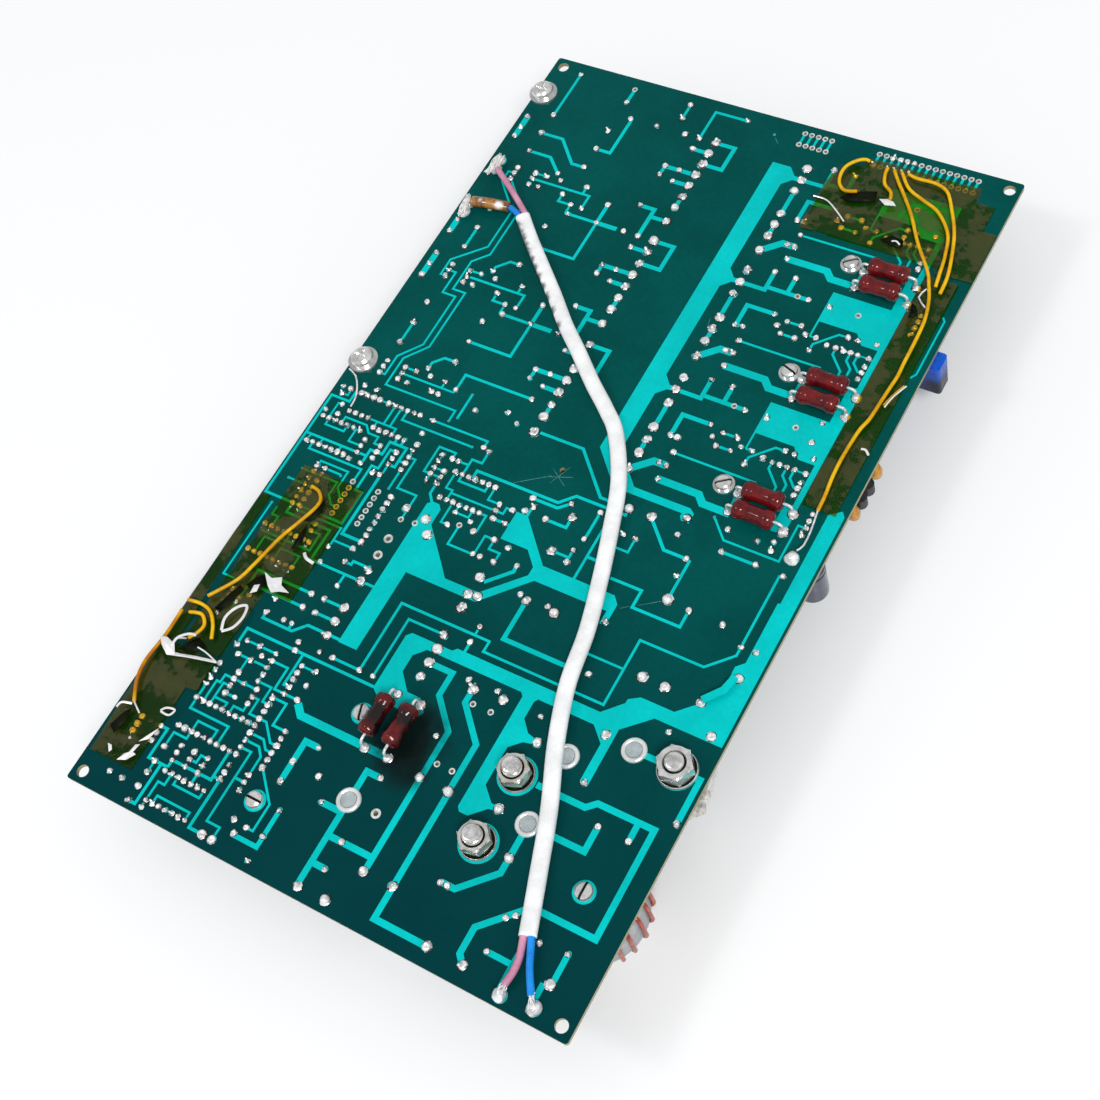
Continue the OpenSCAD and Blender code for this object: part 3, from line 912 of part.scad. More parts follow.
module circuit_board() {
    color("darkgreen") difference() {
        translate([0, 0, -board_t]) linear_extrude(board_t) rounded(board_w, board_l, corner_r);
        for (x = [-1, 1]) for (y = [-1, 1])
            translate([
                x * (board_w / 2 - fixing_inset), y * (board_l / 2 - fixing_inset),
                -board_t - overrun
            ]) cylinder(h = board_t + 2 * overrun, d = fixing_d, $fn = facets);
        drills([centre_hole_share], eye_bore + 2 * hole_gap);
        drills(concat(stage_rings, control_rings), ring_bore);
        drills(via_shares, ring_bore / 2);
        drills(eye_shares, eye_bore);
        drills(slot_screw_shares, slot_shank_d + 2 * hole_gap);
        drills(cross_screw_shares, cross_shank_d + 2 * hole_gap);
        drills(nut_shares, stud_d + 2 * hole_gap);
    }
}

module driver_copper() {
    color("darkcyan") difference() {
        union() {
            tracks(driver_track_shares);
            tracks(driver_pair_track_shares, pair_offsets());
            lands(driver_small, small_joint_d);
            lands([ring_single_shares[0]], ring_d);
            lands(driver_via_shares, ring_d / 2);
            lands(near(early(heap_shares)), heap_d);
        }
        drills([ring_single_shares[0]], ring_bore);
        drills(driver_via_shares, ring_bore / 2);
    }
}

module stage_copper() {
    color("darkcyan") difference() {
        union() {
            tracks(stage_track_shares, stage_offsets());
            tracks(stage_pair_track_shares, pair_offsets());
            tracks(stage_single_track_shares);
            for (o = stage_offsets()) plane(stage_plane_shares, o);
            plane(concat(
                bus_start_shares,
                [for (o = stage_offsets()) for (p = bus_tap_shares) [p[0], p[1] + o]],
                bus_end_shares
            ));
            for (u = concat(ladder_u_shares, plug_u_shares))
                track([ladder_w_share, [[u, plug_v_shares[0]], [u, plug_v_shares[1]]]]);
            lands(stage_via_shares, ring_d / 2);
            lands([bus_joint_share], large_joint_d);
            lands(concat(stage_small, plug_joints), small_joint_d);
            lands(stage_large, large_joint_d);
            lands(early(resistor_ends), large_joint_d);
            lands(stage_rings, ring_d);
            lands(early(slot_screw_shares), slot_washer_d);
        }
        drills(stage_rings, ring_bore);
        drills(stage_via_shares, ring_bore / 2);
        drills(early(slot_screw_shares), slot_shank_d + 2 * hole_gap);
    }
}

module control_copper() {
    color("darkcyan") difference() {
        union() {
            tracks(control_track_shares);
            plane(control_plane_shares);
            lands(control_small, small_joint_d);
            lands(near(large_joint_shares), large_joint_d);
            lands(near(late(control_rings)), ring_d);
            lands(near(eye_shares), eye_d);
            lands(control_via_shares, ring_d / 2);
            lands([slot_screw_shares[4]], slot_washer_d);
        }
        drills(near(late(control_rings)), ring_bore);
        drills(near(eye_shares), eye_bore);
        drills([slot_screw_shares[4]], slot_shank_d + 2 * hole_gap);
        drills(control_via_shares, ring_bore / 2);
    }
}

module output_copper() {
    color("darkcyan") difference() {
        union() {
            tracks(output_track_shares);
            for (p = output_plane_shares) plane(p);
            lands(output_single_shares, small_joint_d);
            lands(concat(far(large_joint_shares), late(resistor_ends)), large_joint_d);
            lands(far(heap_shares), heap_d);
            lands(far(control_rings), ring_d);
            lands(far(eye_shares), eye_d);
            lands(disc_shares, disc_d);
            lands(nut_shares, nut_washer_d);
            lands([slot_screw_shares[3], slot_screw_shares[5]], slot_washer_d);
        }
        drills(far(control_rings), ring_bore);
        drills(far(eye_shares), eye_bore);
        drills(nut_shares, stud_d + 2 * hole_gap);
        drills([slot_screw_shares[3], slot_screw_shares[5]], slot_shank_d + 2 * hole_gap);
    }
}

module tin_ring(d, bore) {
    translate([0, 0, copper_t]) difference() {
        cylinder(h = tin_t, d = d, $fn = facets);
        translate([0, 0, -overrun]) cylinder(h = tin_t + 2 * overrun, d = bore, $fn = facets);
    }
}

module ring_pads() {
    color("silver") {
        for (p = concat(stage_rings, control_rings)) at_place(p) tin_ring(ring_d, ring_bore);
        for (p = eye_shares) at_place(p) tin_ring(eye_d, eye_bore);
    }
}

module driver_joints() {
    color("gainsboro") joints(driver_small, small_joint_d, small_joint_h);
}

module stage_joints() {
    color("gainsboro") joints(concat(stage_small, plug_joints), small_joint_d, small_joint_h);
}

module control_joints() {
    color("gainsboro") joints(control_small, small_joint_d, small_joint_h);
}

module output_joints() {
    color("gainsboro") joints(output_single_shares, small_joint_d, small_joint_h);
}

module large_joints() {
    color("gainsboro") {
        joints(concat(stage_large, large_joint_shares, [bus_joint_share]), large_joint_d, large_joint_h);
        joints(resistor_ends, large_joint_d, large_joint_h);
    }
}

module stud_discs() {
    color("silver")
        for (p = disc_shares) at_place(p, copper_t) turned(disc_profile_shares, disc_d / 2, disc_h);
}

module wire_heaps() {
    color("gainsboro")
        for (p = heap_shares) at_place(p, copper_t) turned(heap_profile_shares, heap_d / 2, heap_h);
}

// Screws and nuts

module slotted_screws() {
    color("silver") for (i = [0:len(slot_screw_shares) - 1]) {
        seat = copper_t + (i < washered_slot_screws ? slot_washer_t : 0);
        reach = i < washered_slot_screws ? case_t + sink_base / 2 : case_t;
        at_place(slot_screw_shares[i], seat) {
            difference() {
                turned(screw_profile_shares, slot_head_d / 2, slot_head_h);
                rotate([0, 0, slot_turn_shares[i] * 180])
                    translate([-slot_head_d, -slot_w / 2, slot_head_h - slot_depth])
                        cube([2 * slot_head_d, slot_w, slot_depth + overrun]);
            }
            translate([0, 0, -seat - board_t - reach])
                cylinder(h = seat + board_t + reach, d = slot_shank_d, $fn = facets);
        }
    }
}

module washer(d, bore, h) {
    difference() {
        cylinder(h = h, d = d, $fn = facets);
        translate([0, 0, -overrun]) cylinder(h = h + 2 * overrun, d = bore, $fn = facets);
    }
}

module slotted_washers() {
    color("gainsboro") for (i = [0:washered_slot_screws - 1])
        at_place(slot_screw_shares[i], copper_t)
            washer(slot_washer_d, slot_shank_d + 2 * hole_gap, slot_washer_t);
}

module cross_head_screws() {
    color("silver") for (p = cross_screw_shares) at_place(p, cross_washer_t) {
        difference() {
            turned(screw_profile_shares, cross_head_d / 2, cross_head_h);
            for (a = [0, 90]) rotate([0, 0, a])
                translate([-cross_w / 2, -slot_w / 2, cross_head_h - slot_depth])
                    cube([cross_w, slot_w, slot_depth + overrun]);
        }
        translate([0, 0, -cross_washer_t - board_t - case_t])
            cylinder(h = cross_washer_t + board_t + case_t, d = cross_shank_d, $fn = facets);
    }
}

module cross_head_washers() {
    color("gainsboro") for (p = cross_screw_shares)
        at_place(p) washer(cross_washer_d, cross_shank_d + 2 * hole_gap, cross_washer_t);
}

module hex_nuts() {
    color("silver") for (i = [0:len(nut_shares) - 1])
        at_place(nut_shares[i], copper_t + nut_washer_t) difference() {
            rotate([0, 0, nut_turn_shares[i] * 60])
                cylinder(h = nut_h, d = nut_af / cos(30), $fn = 6);
            translate([0, 0, -overrun]) cylinder(h = nut_h + 2 * overrun, d = stud_d, $fn = facets);
        }
}

module nut_washers() {
    color("gainsboro") for (p = nut_shares)
        at_place(p, copper_t) washer(nut_washer_d, stud_d + 2 * hole_gap, nut_washer_t);
}

// Power resistors, laid across their joints

module resistor_place(r) {
    at_place(r, resistor_lift + resistor_d / 2) rotate([0, 0, r[2] * 90]) children();
}

module power_resistors() {
    body_r = resistor_d / 2;
    neck_r = body_r * body_neck_share;
    cuff = resistor_l * body_cuff_share;
    color("brown") for (r = resistor_shares) resistor_place(r)
        rotate([0, 90, 0]) rotate_extrude($fn = facets) polygon([
            [0, -resistor_l / 2], [neck_r, -resistor_l / 2], [body_r, -resistor_l / 2 + neck_r / 2],
            [body_r, -resistor_l / 2 + cuff], [neck_r, -resistor_l / 2 + cuff + neck_r / 4],
            [neck_r, resistor_l / 2 - cuff - neck_r / 4], [body_r, resistor_l / 2 - cuff],
            [body_r, resistor_l / 2 - neck_r / 2], [neck_r, resistor_l / 2], [0, resistor_l / 2]
        ]);
}

// A lead from a body's end out to its joint: straight, round the bend and down
module bent_lead(reach, drop, d, from) {
    bend = 3 * d / 2;
    translate([from, 0, 0]) rotate([0, 90, 0])
        cylinder(h = reach - bend - from, d = d, $fn = facets);
    translate([reach - bend, 0, -bend]) rotate([90, 0, 0]) rotate_extrude(angle = 90, $fn = facets)
        translate([bend, 0]) circle(d = d, $fn = facets);
    translate([reach, 0, -drop]) cylinder(h = drop - bend, d = d, $fn = facets);
}

module resistor_leads() {
    drop = resistor_lift + resistor_d / 2 - copper_t - large_joint_h;
    color("silver") for (r = resistor_shares) resistor_place(r) for (s = [0, 180])
        rotate([0, 0, s]) bent_lead(resistor_span / 2, drop, resistor_lead_d, resistor_l / 2);
}

// Wiring on the solder side

module link_sleeve() {
    color("ivory") tube(sleeve_route, sleeve_w, sleeve_h);
}

module pink_wire_start() {
    color("hotpink") tube(pink_start_route, link_d, link_d);
}

module pink_wire_end() {
    color("hotpink") tube(pink_end_route, link_d, link_d);
}

module blue_wire_start() {
    color("dodgerblue") tube(blue_start_route, link_d, link_d);
}

module blue_wire_end() {
    color("dodgerblue") tube(blue_end_route, link_d, link_d);
}

module taped_splice() {
    color("saddlebrown") tube(splice_route, splice_w, sleeve_h);
}

function lying(route) = [for (p = route) [p[0], p[1], p[2] + tape_top + thin_lie]];

module yellow_wires() {
    color("gold") for (r = yellow_routes) tube(lying(r), thin_d, thin_d);
}

module bare_leads() {
    color("silver") {
        for (r = bare_routes) tube(r, bare_d, bare_d);
        for (i = [0:len(wired_joints) - 1]) {
            foot = [place(wired_joints[i])[0], place(wired_joints[i])[1], tape_top + bare_d / 2];
            start = lying(yellow_routes[i])[0];
            tube([foot, start + (foot - start) * lead_free_share], bare_d, bare_d);
        }
    }
}

module solder_strap() {
    color("darkcyan") translate([0, 0, copper_t + large_joint_h])
        linear_extrude(strap_t)
            polygon(outline([for (p = strap_route_shares) place(p)], strap_w));
}

module amber_tape() {
    color("olive", 0.6) for (patch = tape_shares)
        translate([0, 0, copper_t + small_joint_h]) linear_extrude(tape_t)
            polygon([for (p = patch) place(p)]);
}

// Parts below the board

module transformer_cores() {
    window_w = core_w / 2 - side_leg - core_leg / 2;
    color("dimgray") under_board() for (p = transformer_shares)
        at_place(p, core_top) difference() {
            translate([-core_l / 2, -core_w / 2, 0]) cube([core_l, core_w, core_t]);
            for (s = [-1, 1])
                translate([-core_window / 2, s * (core_leg + window_w) / 2 - window_w / 2, -overrun])
                    cube([core_window, window_w, core_t + 2 * overrun]);
        }
}

module transformer_formers() {
    flange_w = core_w - 2 * side_leg - 2 * former_gap;
    flange_x = core_window / 2 - former_gap - former_t;
    bore_w = core_leg + 2 * former_gap;
    bore_t = core_t + 2 * former_gap;
    color("black") under_board() for (p = transformer_shares) at_place(p) difference() {
        union() {
            translate([-flange_x, -bore_w / 2 - former_t, core_top - former_gap - former_t])
                cube([2 * flange_x, bore_w + 2 * former_t, bore_t + 2 * former_t]);
            for (s = [-1, 1]) {
                translate([s * (flange_x + former_t / 2) - former_t / 2, -flange_w / 2, 0])
                    cube([former_t, flange_w, rest_depth]);
                translate([
                    s * (rail_x + rail_w / 2 + flange_x) / 2 - (rail_x + rail_w / 2 - flange_x) / 2,
                    -core_w / 2, 0
                ]) cube([rail_x + rail_w / 2 - flange_x, core_w, core_top]);
            }
        }
        translate([-core_l, -bore_w / 2, core_top - former_gap])
            cube([2 * core_l, bore_w, bore_t]);
    }
}

module transformer_windings() {
    coil_l = core_window - 2 * former_gap - 2 * former_t;
    tube_w = core_leg + 2 * former_gap + 2 * former_t;
    tube_t = core_t + 2 * former_gap + 2 * former_t;
    color("goldenrod") under_board() for (p = transformer_shares)
        at_place(p, rest_depth / 2) rotate([90, 0, 90]) difference() {
            translate([0, 0, -coil_l / 2]) linear_extrude(coil_l) rounded(coil_w, coil_h, coil_round);
            translate([-tube_w / 2, -tube_t / 2, -coil_l]) cube([tube_w, tube_t, 2 * coil_l]);
        }
}

module heat_sinks() {
    gap = (sink_w - fin_t) / (fins - 1);
    color("darkgray") under_board() for (i = [0:washered_slot_screws - 1])
        at_place(slot_screw_shares[i], case_t) difference() {
            translate([case_mid_x - sink_l / 2, -sink_w / 2, 0]) union() {
                cube([sink_l, sink_w, sink_base]);
                for (k = [0:fins - 1])
                    translate([0, k * gap, 0]) cube([sink_l, fin_t, rest_depth - case_t]);
            }
            translate([0, 0, -overrun])
                cylinder(h = sink_base / 2 + overrun, d = slot_shank_d, $fn = facets);
        }
}

module power_transistors() {
    color("black") under_board() for (i = [0:washered_slot_screws - 1])
        at_place(slot_screw_shares[i]) difference() {
            translate([case_hole_inset - case_l, -case_w / 2, 0]) cube([case_l, case_w, case_t]);
            translate([0, 0, -overrun])
                cylinder(h = case_t + 2 * overrun, d = slot_shank_d + 2 * hole_gap, $fn = facets);
        }
}

module transistor_legs() {
    color("silver") under_board() for (i = [0:washered_slot_screws - 1])
        at_place(slot_screw_shares[i]) for (k = [-1, 0, 1])
            translate([case_hole_inset - case_l - leg_reach, k * leg_step - leg_w / 2, 0]) {
                cube([leg_t, leg_w, case_t / 2]);
                translate([0, 0, case_t / 2 - leg_t]) cube([leg_reach, leg_w, leg_t]);
            }
}

module filter_capacitors() {
    color("midnightblue") under_board()
        for (p = filter_shares) at_place(p) can(filter_d / 2, rest_depth);
}

// A can with its groove near the board and a rounded end
module can(r, h) {
    groove = h * can_groove_share;
    rotate_extrude($fn = facets) polygon([
        [0, 0], [r * can_neck_share, 0], [r, groove / 3], [r, groove],
        [r * can_neck_share, groove * 4 / 3], [r, groove * 5 / 3], [r, h - groove / 4],
        [r * can_neck_share, h], [0, h]
    ]);
}

module small_cans() {
    color("midnightblue") under_board() for (p = small_can_shares) at_place(p) can(can_d / 2, can_h);
}

module film_capacitors() {
    color("royalblue") under_board() for (p = film_shares)
        at_place(p) rotate([0, 0, p[2] * 90]) linear_extrude(film_h)
            rounded(film_l, film_w, film_round);
}

module stud_rectifiers() {
    color("silver") for (i = [0:len(nut_shares) - 1]) {
        proud = stud_proud * stud_proud_shares[i];
        under_board() at_place(nut_shares[i]) {
            rotate([0, 0, base_turn_shares[i] * 60])
                cylinder(h = base_h, d = base_af / cos(30), $fn = 6);
            translate([0, 0, base_h]) turned(cap_profile_shares, cap_d / 2, 2 * cap_h);
        }
        at_place(nut_shares[i], -board_t)
            cylinder(h = board_t + copper_t + nut_washer_t + nut_h + proud, d = stud_d, $fn = facets);
    }
}

module choke_core() {
    color("seagreen") under_board() at_place(choke_share, choke_lift)
        rotate_extrude($fn = 2 * facets)
            translate([(choke_d + choke_bore) / 4, choke_h / 2])
                rounded((choke_d - choke_bore) / 2, choke_h, turn_d / 2);
}

module choke_winding() {
    ring_w = (choke_d - choke_bore) / 2 + 2 * turn_gap;
    ring_h = choke_h + 2 * turn_gap;
    color("peru") under_board() at_place(choke_share, choke_lift + choke_h / 2)
        for (k = [0:turns - 1]) rotate([0, 0, k * 360 / turns])
            translate([(choke_d + choke_bore) / 4, 0, 0]) rotate([90, 0, 0])
                translate([0, 0, -turn_d / 2]) linear_extrude(turn_d) difference() {
                    rounded(ring_w + 2 * turn_d, ring_h + 2 * turn_d, 3 * turn_d / 2);
                    rounded(ring_w, ring_h, turn_d / 2);
                }
}

module choke_cup() {
    depth = choke_lift + choke_h + turn_gap + turn_d;
    color("white") under_board() at_place(choke_share) difference() {
        union() {
            cylinder(h = depth, d = choke_bore - 3 * turn_d, $fn = facets);
            translate([0, 0, depth]) cylinder(h = choke_lift, d = choke_d - 4 * turn_d, $fn = facets);
        }
        translate([0, 0, -overrun]) cylinder(h = case_t + overrun, d = slot_shank_d, $fn = facets);
    }
}

module chips() {
    color("black") under_board() for (c = chip_shares)
        at_place([c[0] + (c[2] - 1) / 2, c[1] + c[3] / 2], chip_lift)
            translate([-c[2] * pitch / 2, leg_t / 2 - c[3] * pitch / 2, 0])
                cube([c[2] * pitch, c[3] * pitch - leg_t, chip_h]);
}

module chip_legs() {
    color("silver") under_board() for (c = chip_shares) for (i = [0:c[2] - 1]) for (r = [0, c[3]])
        at_place([c[0] + i, c[1] + r])
            translate([-leg_w / 4, -leg_t / 2, 0]) cube([leg_w / 2, leg_t, chip_lift + chip_h / 2]);
}

module axial_at(a) {
    p = place(a[0]);
    q = place(a[1]);
    way = q - p;
    translate([p[0] + way[0] / 2, p[1] + way[1] / 2, axial_d / 2])
        rotate([0, 0, atan2(way[1], way[0])]) children();
}

module axial_parts() {
    color("burlywood") under_board() for (a = axial_shares) axial_at(a)
        translate([-axial_l / 2, 0, 0]) rotate([0, 90, 0]) cylinder(h = axial_l, d = axial_d, $fn = facets);
}

module axial_leads() {
    color("silver") under_board() for (a = axial_shares) axial_at(a) for (s = [0, 180])
        rotate([0, 0, s])
            bent_lead(norm(place(a[1]) - place(a[0])) / 2, axial_d / 2, thin_lead_d, axial_l / 2);
}

module headers() {
    color("black") under_board() for (h = header_shares)
        at_place(h) translate([-h[2] * pitch / 2, -h[3] * pitch / 2, 0])
            cube([h[2] * pitch, h[3] * pitch, header_h]);
}

module edge_beads() {
    color("firebrick") under_board() for (p = edge_bead_shares) at_place(p)
        turned(bead_profile_shares, bead_d / 2, bead_h);
}

module edge_transistors() {
    color("black") under_board() for (p = edge_transistor_shares) at_place(p) {
        translate([0, 0, bead_h / 3]) difference() {
            cylinder(h = bead_d, d = bead_d, $fn = facets);
            translate([-bead_d, -bead_d, -overrun]) cube([3 * bead_d / 4, 2 * bead_d, bead_d + 2 * overrun]);
        }
        for (k = [-1, 0, 1]) translate([-leg_t / 2, k * pitch / 2 - leg_t / 2, 0])
            cube([leg_t, leg_t, bead_h / 3]);
    }
}

circuit_board();
driver_copper();
stage_copper();
control_copper();
output_copper();
ring_pads();
driver_joints();
stage_joints();
control_joints();
output_joints();
large_joints();
stud_discs();
wire_heaps();
slotted_screws();
slotted_washers();
cross_head_screws();
cross_head_washers();
hex_nuts();
nut_washers();
power_resistors();
resistor_leads();
link_sleeve();
pink_wire_start();
pink_wire_end();
blue_wire_start();
blue_wire_end();
taped_splice();
yellow_wires();
bare_leads();
solder_strap();
amber_tape();
transformer_cores();
transformer_formers();
transformer_windings();
heat_sinks();
power_transistors();
transistor_legs();
filter_capacitors();
small_cans();
film_capacitors();
stud_rectifiers();
choke_core();
choke_winding();
choke_cup();
chips();
chip_legs();
axial_parts();
axial_leads();
headers();
edge_beads();
edge_transistors();
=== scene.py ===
"""Dresses the motherboard of a laser device, lying with its solder side up, and sets it in a plain studio."""

import logging
import math
import random
from dataclasses import dataclass, field
from enum import Enum

import bmesh
import bpy
import numpy as np
from mathutils import Matrix, Quaternion, Vector, noise


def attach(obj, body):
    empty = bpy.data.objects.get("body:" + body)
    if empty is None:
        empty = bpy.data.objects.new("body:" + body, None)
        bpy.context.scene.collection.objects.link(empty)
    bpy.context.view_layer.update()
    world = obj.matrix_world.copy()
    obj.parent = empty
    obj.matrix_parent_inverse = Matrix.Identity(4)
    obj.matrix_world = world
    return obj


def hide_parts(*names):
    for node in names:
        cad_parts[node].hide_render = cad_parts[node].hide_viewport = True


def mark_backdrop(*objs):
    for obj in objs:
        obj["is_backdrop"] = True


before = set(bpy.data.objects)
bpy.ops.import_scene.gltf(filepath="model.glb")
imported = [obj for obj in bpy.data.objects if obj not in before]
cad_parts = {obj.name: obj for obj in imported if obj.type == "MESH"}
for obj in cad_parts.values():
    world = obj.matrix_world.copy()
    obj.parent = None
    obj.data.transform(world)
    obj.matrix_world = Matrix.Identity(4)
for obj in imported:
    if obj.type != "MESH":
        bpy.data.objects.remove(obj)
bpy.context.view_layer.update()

LOG = logging.getLogger("motherboard")
MM = 0.001
PITCH = 2.54 * MM
BODY = "root"

Colour = tuple[float, float, float]
Point = tuple[float, float, float]


class Ground(Enum):
    """What a repeated piece of solder stands on."""

    SMALL_PAD = "small pad"
    LARGE_PAD = "large pad"


# Shader node groups


def group_of(name: str, inputs: dict[str, tuple[str, object]], outputs: dict[str, str]) -> bpy.types.NodeTree:
    """Make an empty shader node group.

    Args:
        name: The group's name.
        inputs: For each input its socket type and its default value.
        outputs: For each output its socket type.

    Returns:
        The group, with a group input and a group output node in it.
    """
    tree = bpy.data.node_groups.new(name, "ShaderNodeTree")
    for label, (kind, value) in inputs.items():
        socket = tree.interface.new_socket(name=label, in_out="INPUT", socket_type=kind)
        if value is not None:
            socket.default_value = value
    for label, kind in outputs.items():
        tree.interface.new_socket(name=label, in_out="OUTPUT", socket_type=kind)
    tree.nodes.new("NodeGroupInput").name = "in"
    tree.nodes.new("NodeGroupOutput").name = "out"
    return tree


def add_node(tree: bpy.types.NodeTree, kind: str, **settings: object) -> bpy.types.Node:
    """Add a node to a tree, with its properties set."""
    made = tree.nodes.new(kind)
    for key, value in settings.items():
        setattr(made, key, value)
    return made


def mixed(tree: bpy.types.NodeTree, share: object, low: object, high: object, way: str = "MIX") -> object:
    """Mix two colours in a tree.

    Args:
        tree: The tree that the node goes into.
        share: A socket or a number for the mix.
        low: The colour, or its socket, at share 0.
        high: The colour, or its socket, at share 1.
        way: The blend type.

    Returns:
        The socket that carries the mixed colour.
    """
    made = add_node(tree, "ShaderNodeMix", data_type="RGBA", blend_type=way)
    for socket, value in zip((made.inputs[0], made.inputs[6], made.inputs[7]), (share, low, high)):
        if isinstance(value, bpy.types.NodeSocket):
            tree.links.new(value, socket)
        elif isinstance(value, (int, float)):
            socket.default_value = value
        else:
            socket.default_value = (*value, 1.0)
    return made.outputs[2]


def maths(tree: bpy.types.NodeTree, operation: str, *values: object, clamp: bool = False) -> object:
    """Add a Math node fed with sockets or numbers, and return its output."""
    made = add_node(tree, "ShaderNodeMath", operation=operation, use_clamp=clamp)
    for socket, value in zip(made.inputs, values):
        if isinstance(value, bpy.types.NodeSocket):
            tree.links.new(value, socket)
        else:
            socket.default_value = value
    return made.outputs[0]


def ramped(tree: bpy.types.NodeTree, value: object, low: float, high: float) -> object:
    """Return the share, from 0 to 1, that a value has come from low to high."""
    made = add_node(tree, "ShaderNodeMapRange", interpolation_type="SMOOTHSTEP")
    tree.links.new(value, made.inputs["Value"])
    made.inputs["From Min"].default_value = low
    made.inputs["From Max"].default_value = high
    return made.outputs["Result"]


def mottle_group() -> bpy.types.NodeTree:
    """Build the group that varies a colour in soft patches.

    Returns:
        A group with the varied colour, the patches' share and a fine height.
    """
    tree = group_of(
        "soft_mottle",
        {
            "Vector": ("NodeSocketVector", None),
            "Low": ("NodeSocketColor", (0, 0, 0, 1)),
            "High": ("NodeSocketColor", (1, 1, 1, 1)),
            "Scale": ("NodeSocketFloat", 40.0),
            "Fine Scale": ("NodeSocketFloat", 900.0),
        },
        {"Color": "NodeSocketColor", "Share": "NodeSocketFloat", "Height": "NodeSocketFloat"},
    )
    source, sink = tree.nodes["in"], tree.nodes["out"]
    broad = add_node(tree, "ShaderNodeTexNoise")
    broad.inputs["Detail"].default_value = 4.0
    broad.inputs["Roughness"].default_value = 0.6
    fine = add_node(tree, "ShaderNodeTexNoise")
    fine.inputs["Detail"].default_value = 3.0
    tree.links.new(source.outputs["Vector"], broad.inputs["Vector"])
    tree.links.new(source.outputs["Vector"], fine.inputs["Vector"])
    tree.links.new(source.outputs["Scale"], broad.inputs["Scale"])
    tree.links.new(source.outputs["Fine Scale"], fine.inputs["Scale"])
    patches = ramped(tree, broad.outputs["Fac"], 0.32, 0.68)
    grains = ramped(tree, fine.outputs["Fac"], 0.3, 0.7)
    share = maths(tree, "MULTIPLY_ADD", patches, 0.75, maths(tree, "MULTIPLY", grains, 0.25), clamp=True)
    tree.links.new(mixed(tree, share, source.outputs["Low"], source.outputs["High"]), sink.inputs["Color"])
    tree.links.new(share, sink.inputs["Share"])
    tree.links.new(fine.outputs["Fac"], sink.inputs["Height"])
    return tree


def ragged_patch_group() -> bpy.types.NodeTree:
    """Build the group that gives a ragged round patch about one place, used for stains and for painted shade and
    highlights.

    Returns:
        A group whose only output is the patch's share at a point.
    """
    tree = group_of(
        "ragged_patch",
        {
            "Vector": ("NodeSocketVector", None),
            "Centre": ("NodeSocketVector", (0, 0, 0)),
            "Radius": ("NodeSocketFloat", 0.02),
            "Scale": ("NodeSocketFloat", 120.0),
        },
        {"Share": "NodeSocketFloat"},
    )
    source, sink = tree.nodes["in"], tree.nodes["out"]
    reach = add_node(tree, "ShaderNodeVectorMath", operation="DISTANCE")
    ragged = add_node(tree, "ShaderNodeTexNoise")
    ragged.inputs["Detail"].default_value = 5.0
    tree.links.new(source.outputs["Vector"], reach.inputs[0])
    tree.links.new(source.outputs["Centre"], reach.inputs[1])
    tree.links.new(source.outputs["Vector"], ragged.inputs["Vector"])
    tree.links.new(source.outputs["Scale"], ragged.inputs["Scale"])
    share = maths(tree, "DIVIDE", reach.outputs["Value"], source.outputs["Radius"])
    rough = maths(tree, "MULTIPLY_ADD", ragged.outputs["Fac"], 0.9, share)
    tree.links.new(maths(tree, "SUBTRACT", 1.0, ramped(tree, rough, 0.75, 1.5)), sink.inputs["Share"])
    return tree


def film_group() -> bpy.types.NodeTree:
    """Build the group that colours what lies under the amber tape.

    Returns:
        A group that gives a colour back, filtered where a field of tape covers the point.
    """
    tree = group_of(
        "seen_through_film",
        {
            "Vector": ("NodeSocketVector", None),
            "Color": ("NodeSocketColor", (1, 1, 1, 1)),
            "Filter": ("NodeSocketColor", (1.0, 0.6, 0.02, 1)),
        },
        {"Color": "NodeSocketColor"},
    )
    source, sink = tree.nodes["in"], tree.nodes["out"]
    covered = 0.0
    for u0, v0, u1, v1 in TAPE_FIELDS:
        off = source.outputs["Vector"]
        centre = (((u0 + u1) / 2 - 35.5) * PITCH, (61 - (v0 + v1) / 2) * PITCH, 0.5 * MM)
        half = ((u1 - u0) / 2 * PITCH, (v1 - v0) / 2 * PITCH, 1.0 * MM)
        for operation, value in (("SUBTRACT", centre), ("ABSOLUTE", None), ("SUBTRACT", half)):
            step = add_node(tree, "ShaderNodeVectorMath", operation=operation)
            tree.links.new(off, step.inputs[0])
            if value is not None:
                step.inputs[1].default_value = value
            off = step.outputs["Vector"]
        apart = add_node(tree, "ShaderNodeSeparateXYZ")
        tree.links.new(off, apart.inputs[0])
        side = maths(tree, "MAXIMUM", apart.outputs["X"], apart.outputs["Y"])
        inside = ramped(tree, maths(tree, "MAXIMUM", side, apart.outputs["Z"]), 0.00008, -0.00008)
        covered = maths(tree, "MAXIMUM", covered, inside)
    seen = mixed(tree, covered, source.outputs["Color"], source.outputs["Filter"], "MULTIPLY")
    tree.links.new(seen, sink.inputs["Color"])
    return tree


TAPE_FIELDS: tuple[tuple[float, float, float, float], ...] = (
    (50.4, 2.6, 66.2, 16.3), (48.4, 4.2, 50.4, 16.1), (46.6, 6.6, 48.4, 16.3), (66.2, 4.9, 69, 17.1),
    (69, 9, 70.9, 17), (65.1, 17.8, 69.6, 54), (3.1, 73.5, 12.9, 90.9), (2.8, 90.9, 8.8, 101),
    (0.1, 79, 1.6, 101.5), (1.6, 96, 2.2, 101.5), (0.1, 101.5, 8.9, 105.9), (0.7, 105.9, 7.2, 117.8),
)
MOTTLE = mottle_group()
RAGGED_PATCH = ragged_patch_group()
FILM = film_group()


def through_film(tree: bpy.types.NodeTree, place: object, colour: object) -> object:
    """Return a material's colour as it looks where tape covers it."""
    made = add_node(tree, "ShaderNodeGroup", node_tree=FILM)
    tree.links.new(place, made.inputs["Vector"])
    tree.links.new(colour, made.inputs["Color"])
    return made.outputs["Color"]


